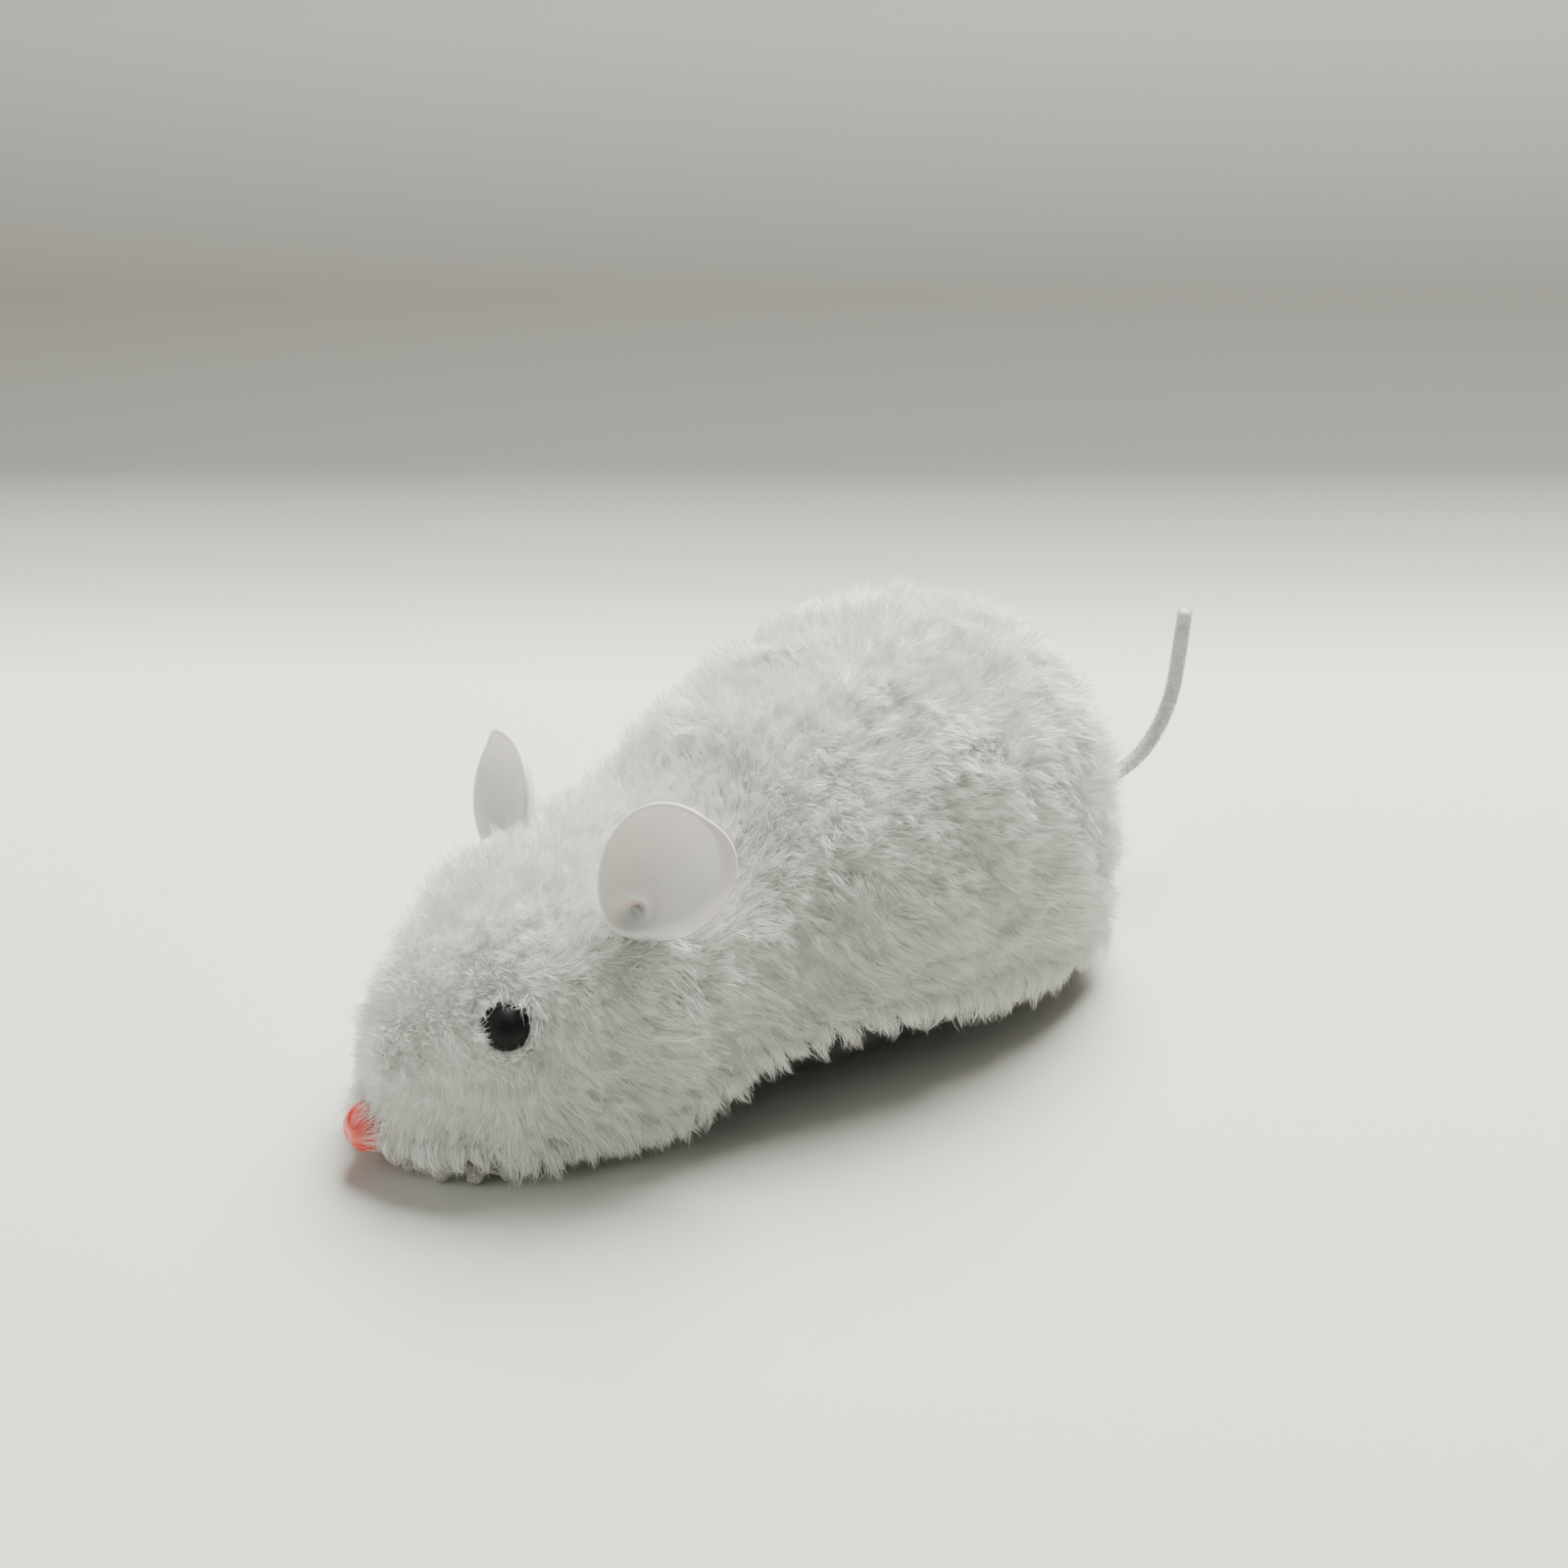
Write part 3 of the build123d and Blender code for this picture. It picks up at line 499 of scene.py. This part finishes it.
def nose_place():
    """Centre and radius of the nose bead."""
    low, high = (np.array(c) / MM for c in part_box("nose"))
    radius = (high[0] - low[0]) / 2
    return np.array((0, low[1] + radius, (low[2] + high[2]) / 2)), radius


def in_the_way(points, eyes, key_centre):
    """Fibres that would stand in an ear's cup, on an eye, in the nose or against the winding key."""
    blocked = np.zeros(len(points), bool)
    for side in EARS:
        centre, u, v, w = ear_axes(side)
        local = points - centre
        a, b, c = local @ u, local @ v, local @ w
        rho = np.hypot(a, b) / EAR_R
        floor = bowl(np.minimum(rho, 1.0)) - EAR_THICKNESS
        blocked |= ((rho < 1.0) & (c > floor) & (c < 6.0) & (b > -8.8)).any(axis=1)
    for pole, _, _, axis in eyes:
        local = points - pole
        along = local @ axis
        off = np.linalg.norm(local - along[..., None] * axis, axis=2)
        blocked |= ((off < EYE_CLEAR_R) & (along > -5)).any(axis=1)
    local = points[..., 1:] - key_centre[1:]
    blocked |= ((np.linalg.norm(local, axis=2) < KEY_CLEAR_R) & (points[..., 0] < -20)).any(axis=1)
    nose_centre, nose_r = nose_place()
    blocked |= (np.linalg.norm(points - nose_centre, axis=2) < nose_r).any(axis=1)
    return blocked


def make_pile(skin, eyes, key_centre):
    """The body's pile: clumped, combed, curved fibres over the whole outside."""
    points, normals, outer, triangles = skin
    corners = points[triangles]
    tri_outer = outer[triangles].mean(axis=1)
    weights = (tri_outer > 0.5).astype(float)

    picked, bary = scatter(weights, corners, CLUMPS)
    clump_root = np.einsum("nk,nkd->nd", bary, corners[picked])
    clump_normal = unit(np.einsum("nk,nkd->nd", bary, normals[triangles[picked]]))
    clump_way = comb(clump_root, clump_normal)
    clump_length = pile_length(clump_root) * rng.uniform(0.85, 1.15, CLUMPS)
    ruffle = ridge_nearness(clump_root)[:, None]
    lift = 0.72 + 0.13 * rng.normal(size=(CLUMPS, 1)) + 0.14 * ruffle
    reach = 0.44 + 0.22 * rng.normal(size=(CLUMPS, 1))
    stray = 0.21 * rng.normal(size=(CLUMPS, 3))
    clump_tip = clump_root + clump_length[:, None] * (clump_normal * lift + clump_way * reach + stray)
    tree = KDTree(CLUMPS)
    for i, p in enumerate(clump_root):
        tree.insert(p, i)
    tree.balance()

    picked, bary = scatter(weights, corners, STRANDS)
    root = np.einsum("nk,nkd->nd", bary, corners[picked])
    normal = unit(np.einsum("nk,nkd->nd", bary, normals[triangles[picked]]))
    owner = np.array([tree.find(p)[1] for p in root])
    pull = np.clip(rng.normal(0.45, 0.24, STRANDS), 0, 0.95)[:, None]
    free = rng.random(STRANDS)[:, None] < FREE_SHARE
    pull = np.where(free, 0.1, pull)
    length = clump_length[owner] * rng.uniform(0.72, 1.12, STRANDS)
    way = clump_way[owner]
    own_lift = np.clip(lift[owner], 0.4, 1.0)
    jitter = rng.normal(0, 0.2, (STRANDS, 3))
    own_tip = root + length[:, None] * (normal * own_lift + way * reach[owner] + jitter)
    tip = own_tip + pull * (clump_tip[owner] + rng.normal(0, 0.14, (STRANDS, 3)) - own_tip)
    tip[:, 2] = np.maximum(tip[:, 2], LOWEST_TIP + rng.uniform(0, 0.4, STRANDS))
    start = unit(normal + 0.35 * way + 0.28 * rng.normal(size=(STRANDS, 3)))
    fibres = bent(root - normal * 0.15, start, tip)
    width = STRAND_WIDTH * rng.uniform(0.7, 1.25, STRANDS)
    tone = rng.choice(len(FIBRES), STRANDS, p=FIBRE_SHARES)
    keep = ~in_the_way(fibres, eyes, key_centre)
    return [values[keep] for values in (fibres, normal, width, tone)]


def hem_line(skin):
    """Points of the backing along the cover's lower edge."""
    points, normals, outer, _ = skin
    edge = (normals[:, 2] < -0.6) & (points[:, 2] < 14) & (outer > 0.02) | (
        (normals[:, 2] < -0.8) & (points[:, 2] < 13))
    middle = np.array([0, 3.0])
    away = np.linalg.norm((points[:, :2] - middle) / (24, 52), axis=1)
    return points[edge & (away > 0.75)]


def make_fringe(skin):
    """Tufts that hang from the lower edge of the cover."""
    edge = hem_line(skin)
    out = unit(outward(edge) * (1, 1, 0))
    tufts = rng.choice(len(edge), FRINGE_TUFTS)
    tuft_root = edge[tufts]
    tuft_out = out[tufts]
    size = rng.gamma(4.0, 0.25, FRINGE_TUFTS)
    drop = np.clip(2.2 + 1.5 * size, 1.6, 5.8)
    sweep = 0.5 * wave_vectors(tuft_root, 7.0, 71) * (1, 1, 0) + 0.35 * rng.normal(size=(FRINGE_TUFTS, 3))
    lean = tuft_out * rng.normal(0.25, 0.22, (FRINGE_TUFTS, 1)) + sweep * (1, 1, 0.3)
    tuft_tip = tuft_root + drop[:, None] * (unit(np.array((0, 0.12, -1.0)) + 0.7 * lean))
    owner = rng.integers(0, FRINGE_TUFTS, FRINGE_STRANDS)
    spread = rng.normal(0, 0.55, (FRINGE_STRANDS, 3)) * (1, 1, 0.25)
    root = tuft_root[owner] + spread + np.array((0, 0, 0.5))
    pull = np.clip(rng.normal(0.72, 0.25, FRINGE_STRANDS), 0, 1)[:, None]
    length = drop[owner] * rng.uniform(0.45, 1.1, FRINGE_STRANDS)
    own_way = unit(np.array((0, 0.1, -1.0)) + 0.4 * tuft_out[owner] + 0.35 * rng.normal(size=root.shape))
    own_tip = root + own_way * length[:, None]
    tip = own_tip + pull * (tuft_tip[owner] + rng.normal(0, 0.16, root.shape) - own_tip)
    tip[:, 2] = np.maximum(tip[:, 2], LOWEST_TIP + rng.uniform(0, 0.5, FRINGE_STRANDS))
    root[:, 2] = np.maximum(root[:, 2], LOWEST_TIP + 1.0)
    start = unit(tuft_out[owner] * 0.9 + np.array((0, 0, -0.5)) + 0.3 * rng.normal(size=root.shape))
    fibres = bent(root, start, tip)
    width = 0.032 * rng.uniform(0.7, 1.3, FRINGE_STRANDS)
    tone = rng.choice(len(FIBRES), FRINGE_STRANDS, p=FIBRE_SHARES)
    return fibres, tuft_out[owner], width, tone


def make_eye_lashes(eyes):
    """Fibres round each eye that lie over its rim, and one white wisp from the nose side."""
    count = EYE_RIM_STRANDS
    batches = []
    for pole, u, v, axis in eyes:
        forward = unit(np.array((0, -1.0, 0)) - axis * -axis[1])
        wisp = rng.random(count) < 0.2
        angle = rng.uniform(0, 2 * pi, count)
        wisp_angle = np.arctan2(forward @ v, forward @ u) + rng.normal(0, 0.16, count)
        angle = np.where(wisp, wisp_angle, angle)
        ring = np.cos(angle)[:, None] * u + np.sin(angle)[:, None] * v
        tangent = np.cross(axis, ring)
        start_r = rng.uniform(EYE_R + 0.1, EYE_R + 1.4, count)[:, None]
        end_r = np.where(wisp, rng.uniform(1.5, 2.5, count), rng.normal(EYE_R, 0.5, count))[:, None]
        end_r = np.clip(end_r, 1.3, 4.2)
        dome = np.sqrt(np.maximum(EYE_R ** 2 - end_r ** 2, 0)) - EYE_R
        above = dome + 0.10 + rng.uniform(0, 0.3, (count, 1))
        above = np.maximum(above, rng.uniform(-1.7, -0.7, (count, 1)))
        root = pole + ring * start_r - axis * 2.3
        tip = pole + ring * end_r + axis * above + tangent * rng.normal(0, 1.1, (count, 1))
        start = unit(axis + 0.15 * ring + 0.2 * rng.normal(size=root.shape))
        fibres = bent(root, start, tip)
        outside = np.broadcast_to(axis, root.shape)
        width = 0.03 * rng.uniform(0.7, 1.3, count)
        tone = rng.choice(len(FIBRES), count, p=FIBRE_SHARES)
        batches.append((fibres, outside, width, tone))
    return [np.concatenate(values) for values in zip(*batches)]


def make_nose_hairs(centre, radius):
    """Fibres that grow round the nose bead and lie forward over it."""
    count = MUZZLE_STRANDS
    angle = rng.uniform(radians(-25), radians(205), count)
    ring = np.stack([np.cos(angle), 0 * angle, np.sin(angle)], axis=1)
    left = np.maximum(np.cos(angle), 0)[:, None]
    root = centre + ring * (radius + rng.uniform(0.1, 1.0, (count, 1)))
    root[:, 1] += rng.uniform(0.6, 2.2, count)
    cover = rng.uniform(0.10, 0.55, (count, 1)) + 0.25 * left * rng.random((count, 1))
    polar = pi / 2 * (1 - np.clip(cover, 0, 0.95))
    end = ring * np.sin(polar) - np.array((0, 1.0, 0)) * np.cos(polar)
    tip = centre + end * (radius + rng.uniform(0.12, 0.7, (count, 1))) + rng.normal(0, 0.4, root.shape)
    away = unit(tip - centre)
    tip = centre + away * np.maximum(np.linalg.norm(tip - centre, axis=1, keepdims=True), radius + 0.08)
    tip[:, 2] = np.maximum(tip[:, 2], LOWEST_TIP)
    start = unit(ring * 0.7 - np.array((0, 1.0, 0)) + 0.2 * rng.normal(size=root.shape))
    fibres = bent(root, start, tip)
    width = 0.02 * rng.uniform(0.7, 1.3, count)
    tone = rng.choice(len(FIBRES), count, p=FIBRE_SHARES)
    return fibres, away, width, tone


def plant(name, batch, materials, spread=0.55):
    """One piece of plush from a batch of fibres, their outward ways, widths and tones."""
    fibres, normal, width, tone = batch
    side = breadth_ways(fibres, normal, spread)
    return strand_object(name, fibres, side, width, tone, materials)


def plant_pile(batch):
    """The pile in pieces of about the same number of fibres, from the nose to the rump."""
    order = np.argsort(batch[0][:, 0, 1], kind="stable")
    for i, share in enumerate(np.array_split(order, FUR_PIECES)):
        plant(f"fur_pile_{i + 1}", [values[share] for values in batch], FIBRES)


# ---------------------------------------------------------------- ears
def make_ear(side):
    """A soft cup with a rolled lip, a deep fold at its foot, and a tongue sewn into the head."""
    centre, u, v, w = ear_axes(side)
    turn = 1 if side == "left" else -1
    breadth, height = EAR_SHAPE[side]
    angles = np.arange(144) * 2 * pi / 144
    lip = smooth(np.cos(angles * turn + radians(12) - (0 if turn > 0 else pi)), -0.2, 0.8)
    edge_r = EAR_R * (1 + 0.02 * np.cos(2 * angles - 0.6) + 0.015 * np.sin(3 * angles))
    wave = 0.30 * np.sin(2 * angles + 0.8) + 0.16 * np.sin(3 * angles + 2.0)
    lip_start = 0.93 - 0.24 * lip
    lip_roll = 0.5 + 2.8 * lip

    def ring(rho, behind):
        roll = lip_roll * np.clip((rho - lip_start) / (1 - lip_start), 0, 1) ** 2
        a = rho * edge_r * np.cos(angles) * (breadth + 0.05 * np.sin(angles))
        b = rho * edge_r * np.sin(angles) * height
        pit = 2.3 * np.exp(-((a + 1.2 * turn) ** 2 / 1.8 + (b + 6.9) ** 2 / 1.5))
        crease = 0.35 * np.exp(-(a + 0.25 * b) ** 2 / 0.6) * smooth(-b, 1.5, 6.0)
        depth = bowl(rho) - roll - pit - crease + wave * rho ** 2
        return centre + a[:, None] * u + b[:, None] * v + (depth - behind)[:, None] * w

    front = [ring(rho, 0 * angles) for rho in np.linspace(0.02, 0.985, 40)]
    bead = []
    for step in range(1, 6):
        a = pi * step / 6
        rho = 0.985 + 0.028 * sin(a)
        bead.append(ring(rho, 0 * angles + EAR_THICKNESS * (1 - cos(a)) / 2))
    back = [ring(rho, 0 * angles + EAR_THICKNESS) for rho in np.linspace(0.985, 0.02, 26)]
    verts, faces = capped_rings(front + bead + back)

    tongue = []
    for step in range(9):
        t = step / 8
        half_width, half_thick = 3.2 - 0.6 * t, 0.75 - 0.2 * t
        middle = centre - v * (6.9 + 5.9 * t) - w * (4.5 - 1.2 * t)
        a = np.arange(20) * 2 * pi / 20
        across = np.sign(np.cos(a)) * np.abs(np.cos(a)) ** 0.6 * half_width
        through = np.sign(np.sin(a)) * np.abs(np.sin(a)) ** 0.6 * half_thick
        tongue.append(middle + across[:, None] * u + through[:, None] * w)
    more_verts, more_faces = capped_rings(tongue)
    faces += [tuple(i + len(verts) for i in face) for face in more_faces]
    piece = build_object(f"ear_{side}_soft", verts + more_verts, faces, [EAR_SOFT])
    recalculate(piece)
    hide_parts(f"ear_{side}")
    return piece


def recalculate(piece):
    """Makes every face of a closed mesh look outwards."""
    bm = bmesh.new()
    bm.from_mesh(piece.data)
    bmesh.ops.remove_doubles(bm, verts=bm.verts, dist=1e-7)
    bmesh.ops.recalc_face_normals(bm, faces=bm.faces)
    bm.to_mesh(piece.data)
    bm.free()


# ---------------------------------------------------------------- eyes, nose, glue and tail
def make_eye(side, place):
    """A domed safety eye with a rounded rim, a flat back and a ribbed shank."""
    pole, u, v, axis = place
    profile = []
    for step in range(1, 25):
        a = pi / 2 * step / 24
        profile.append((EYE_R * sin(a), EYE_R * cos(a) * 0.985 - EYE_R))
    profile += [(3.02, -3.12), (2.98, -3.24), (2.85, -3.3), (1.05, -3.32)]
    for rib in range(6):
        profile += [(0.98, -3.5 - rib * 0.7), (0.86, -3.9 - rib * 0.7)]
    verts, faces = capped_rings(lathe(profile, pole, u, v, axis, 64))
    piece = build_object(f"eye_{side}_dome", verts, faces, [EYE_BLACK])
    recalculate(piece)
    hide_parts(f"eye_{side}")


def make_nose(centre, radius):
    """A slightly oval bead with a shallow dimple in front and its stem behind."""
    forward = np.array((0, -1.0, 0))
    profile = []
    for step in range(1, 40):
        a = pi * step / 42
        dimple = 0.10 * np.exp(-(a / 0.28) ** 2)
        profile.append((radius * 1.02 * sin(a), radius * (0.97 * cos(a) - dimple)))
    profile += [(0.8, -radius * 1.05), (0.78, -radius - 0.6), (0.6, -radius - 0.75)]
    rings = lathe(profile, centre, np.array((1.0, 0, 0)), np.array((0, 0, 1.08)), forward, 56)
    verts, faces = capped_rings(rings)
    piece = build_object("nose_bead", verts, faces, [NOSE_RED])
    recalculate(piece)
    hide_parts("nose")


def glue_blobs():
    """Centres and radii of the CAD glue beads, from the nose side back."""
    points = node_points("glue_beads")
    along = points[:, 0] + points[:, 1]
    order = np.argsort(along)
    gaps = np.where(np.diff(along[order]) > 0.8)[0] + 1
    blobs = []
    for group in np.split(order, gaps):
        low, high = points[group].min(axis=0), points[group].max(axis=0)
        blobs.append(((low + high) / 2, (high - low).max() / 2))
    return blobs


def make_glue():
    """Set hot glue: uneven drops under the chin, joined by a drawn-out string."""
    blobs = glue_blobs()
    verts, faces = [], []

    def add(rings):
        more_verts, more_faces = capped_rings(rings)
        faces.extend(tuple(i + len(verts) for i in face) for face in more_faces)
        verts.extend(more_verts)

    x, y, z = np.eye(3)
    for centre, radius in blobs:
        profile = [(radius * sin(pi * s / 16), radius * cos(pi * s / 16)) for s in range(1, 16)]
        add(lathe(profile, centre, x, y, z, 28))
    for (a, ra), (b, rb) in zip(blobs[:-1], blobs[1:]):
        t = np.linspace(0, 1, 9)[:, None]
        line = a + (b - a) * t + np.array((0, 0, 0.35)) * (1 - (2 * t - 1) ** 2)
        thick = 0.34 + 0.30 * np.abs(2 * t[:, 0] - 1) ** 2 * min(ra, rb)
        one, two = tube_frames(line)
        angles = np.arange(14) * 2 * pi / 14
        add([p + (np.cos(angles)[:, None] * m + np.sin(angles)[:, None] * n) * r
             for p, m, n, r in zip(line, one, two, thick)])
    piece = build_object("glue_drops", verts, faces, [])
    remesh = piece.modifiers.new("join", "REMESH")
    remesh.mode, remesh.voxel_size = "VOXEL", 0.14 * MM
    relax = piece.modifiers.new("relax", "SMOOTH")
    relax.factor, relax.iterations = 0.5, 8
    bpy.context.view_layer.update()
    joined = bpy.data.meshes.new_from_object(piece.evaluated_get(bpy.context.evaluated_depsgraph_get()))
    piece.modifiers.clear()
    piece.data = joined
    count = len(joined.vertices)
    co, no = np.empty(count * 3), np.empty(count * 3)
    joined.vertices.foreach_get("co", co)
    joined.vertex_normals.foreach_get("vector", no)
    points = co.reshape(-1, 3) / MM
    lumps = 0.13 * waves(points, 2.2, 81) + 0.05 * waves(points, 0.9, 82)
    points += no.reshape(-1, 3) * lumps[:, None]
    points[:, 2] = np.maximum(points[:, 2], 0.1)
    joined.vertices.foreach_set("co", (points * MM).ravel())
    joined.materials.clear()
    joined.materials.append(GLUE)
    joined.shade_smooth()
    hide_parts("glue_beads")


def tail_line():
    """Points read along the tail's own smooth spline."""
    curve = bpy.data.curves.new("tail_route", "CURVE")
    curve.dimensions = "3D"
    curve.resolution_u = 24
    spline = curve.splines.new("NURBS")
    spline.points.add(len(TAIL_ROUTE) - 1)
    for point, place in zip(spline.points, TAIL_ROUTE):
        point.co = (*(c * MM for c in place), 1.0)
    spline.order_u = 3
    spline.use_endpoint_u = True
    carrier = bpy.data.objects.new("tail_route", curve)
    mesh = bpy.data.meshes.new_from_object(carrier)
    line = np.array([v.co for v in mesh.vertices]) / MM
    bpy.data.objects.remove(carrier)
    return line


def make_tail():
    """A flocked cord: an uneven core, its knot inside the shell, and short fibres all over it."""
    line = tail_line()
    one, two = tube_frames(line)
    steps = np.linalg.norm(np.diff(line, axis=0), axis=1)
    along = np.concatenate([[0], np.cumsum(steps)])
    angles = np.arange(24) * 2 * pi / 24
    rings = []
    for i in range(len(line)):
        thick = TAIL_CORE_R + 0.04 * sin(along[i] * 1.9) + 0.03 * sin(along[i] * 4.7 + 1)
        end = along[-1] - along[i]
        if end < 0.5:
            thick *= 0.55 + 0.45 * (end / 0.5) ** 0.5
        knot = 1.2 * np.exp(-(along[i] / 1.4) ** 2)
        lumpy = 1 + 0.05 * np.sin(angles * 3 + along[i] * 2.3)
        rings.append(line[i] + (np.cos(angles)[:, None] * one[i] + np.sin(angles)[:, None] * two[i])
                     * ((thick + knot) * lumpy)[:, None])
    verts, faces = capped_rings(rings)
    piece = build_object("tail_cord", verts, faces, [TAIL_CORE])
    recalculate(piece)
    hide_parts("tail")

    count = FLOCK_STRANDS
    place = rng.uniform(3.0, along[-1], count)
    centre = np.stack([np.interp(place, along, line[:, i]) for i in range(3)], axis=1)
    m = np.stack([np.interp(place, along, one[:, i]) for i in range(3)], axis=1)
    n = np.stack([np.interp(place, along, two[:, i]) for i in range(3)], axis=1)
    forward = np.cross(m, n)
    angle = rng.uniform(0, 2 * pi, count)[:, None]
    out = unit(np.cos(angle) * m + np.sin(angle) * n)
    root = centre + out * 0.78
    length = rng.uniform(0.24, 0.48, (count, 1))
    tip = root + length * unit(out + 0.45 * rng.normal(size=root.shape) + 0.2 * forward)
    fibres = bent(root, out, tip)
    width = 0.035 * rng.uniform(0.7, 1.3, count)
    tone = rng.choice(2, count, p=(0.6, 0.4))
    plant("tail_flocking", (fibres, np.cross(out, forward), width, tone), FLOCK, 0.8)


# ---------------------------------------------------------------- CAD pieces
def dress_cad():
    """Each carried-over CAD node gets the finish of its slot in the record."""
    slots = {part["node"]: part["material_slot"] for part in frame["record"]["subparts"]}
    for name, piece in frame["nodes"].items():
        look = CAD_LOOKS.get(slots[name])
        if look is None:
            continue
        piece.data.materials.clear()
        piece.data.materials.append(look)


# ---------------------------------------------------------------- studio
def view_back():
    """The way from the mouse to the camera."""
    a, e = radians(CAMERA_AZIMUTH), radians(CAMERA_ELEVATION)
    return np.array([sin(a) * cos(e), -cos(a) * cos(e), sin(e)])


def add_camera():
    data = bpy.data.cameras.new("camera")
    data.sensor_width = 36.0
    data.lens = CAMERA_LENS
    data.shift_x, data.shift_y = CAMERA_SHIFT
    data.clip_start, data.clip_end = 0.01, 20.0
    camera = bpy.data.objects.new("camera", data)
    bpy.context.scene.collection.objects.link(camera)
    camera.location = (np.array(CAMERA_TARGET) + CAMERA_DISTANCE * view_back()) * MM
    camera.rotation_mode = "QUATERNION"
    camera.rotation_quaternion = Vector(-view_back()).to_track_quat("-Z", "Y")
    bpy.context.scene.camera = camera


def add_floor():
    """A pale sheet with painted shade: its colour turns greyer beyond the mouse, standing in for the shaded
    far wall of a studio sweep.
    """
    mesh = bpy.data.meshes.new("floor")
    corners = [(x * FLOOR_HALF, y * FLOOR_HALF, 0) for x, y in ((-1, -1), (1, -1), (1, 1), (-1, 1))]
    mesh.from_pydata(corners, [], [(0, 1, 2, 3)])
    floor = bpy.data.objects.new("floor", mesh)
    bpy.context.scene.collection.objects.link(floor)
    material, nodes, links = new_material("floor_paper")
    place = nodes.new("ShaderNodeTexCoord")
    turn = nodes.new("ShaderNodeMapping")
    turn.inputs["Rotation"].default_value = (0, 0, -radians(CAMERA_AZIMUTH))
    split = nodes.new("ShaderNodeSeparateXYZ")
    links.new(place.outputs["Object"], turn.inputs["Vector"])
    links.new(turn.outputs["Vector"], split.inputs["Vector"])
    # painted shade: the floor's colour darkens with distance behind the mouse
    shade = ramp(nodes, links, split.outputs["Y"], FLOOR_PAINTED_SHADE_STOPS)
    links.new(shade, shader(material).inputs["Base Color"])
    set_inputs(material, Roughness=0.9, Specular_IOR_Level=0.1)
    add_bump(material, noise(nodes, links, 0.5 / MM), 0.05, 0.05)
    mesh.materials.append(material)


def add_area(name, place, aim, size, power, colour):
    data = bpy.data.lights.new(name, "AREA")
    data.shape = "SQUARE"
    data.size = size
    data.energy = power
    data.color = colour
    light = bpy.data.objects.new(name, data)
    bpy.context.scene.collection.objects.link(light)
    light.location = place
    light.rotation_mode = "QUATERNION"
    light.rotation_quaternion = (Vector(aim) - Vector(place)).to_track_quat("-Z", "Y")


def add_lights():
    """One large soft light above and behind the mouse, a weak one before its nose, and a pale sky."""
    behind = -view_back() * (1, 1, 0)
    right = np.cross(behind, (0, 0, 1))
    key = behind * 0.56 + right * 0.20 + np.array((0, 0, 0.74))
    add_area("key", key, (0, 0, 0.02), KEY_SIZE, KEY_POWER, (1.0, 0.998, 0.95))
    fill = view_back() * 0.30 - right * 0.80 + np.array((0, 0, 0.20))
    add_area("fill", fill, (0, 0, 0.02), FILL_SIZE, FILL_POWER, (0.98, 1.0, 0.96))
    world = bpy.data.worlds.new("sky")
    world.use_nodes = True
    background = world.node_tree.nodes["Background"]
    background.inputs["Color"].default_value = (0.93, 0.94, 0.90, 1.0)
    background.inputs["Strength"].default_value = WORLD_STRENGTH
    bpy.context.scene.world = world


# ---------------------------------------------------------------- the whole scene
add_camera()
add_floor()
add_lights()
dress_cad()

EYES = {side: dome_frame(f"eye_{side}") for side in ("left", "right")}
key_low, key_high = (np.array(c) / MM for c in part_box("winding_key"))
NOSE_CENTRE, NOSE_R = nose_place()

skin = make_skin(list(EYES.values()))
plant_pile(make_pile(skin, list(EYES.values()), (key_low + key_high) / 2))
plant("fur_fringe", make_fringe(skin), FIBRES)
plant("fur_eye_rims", make_eye_lashes(list(EYES.values())), FIBRES)
plant("fur_muzzle", make_nose_hairs(NOSE_CENTRE, NOSE_R), FIBRES)
for side in EARS:
    make_ear(side)
for side, place in EYES.items():
    make_eye(side, place)
make_nose(NOSE_CENTRE, NOSE_R)
make_glue()
make_tail()
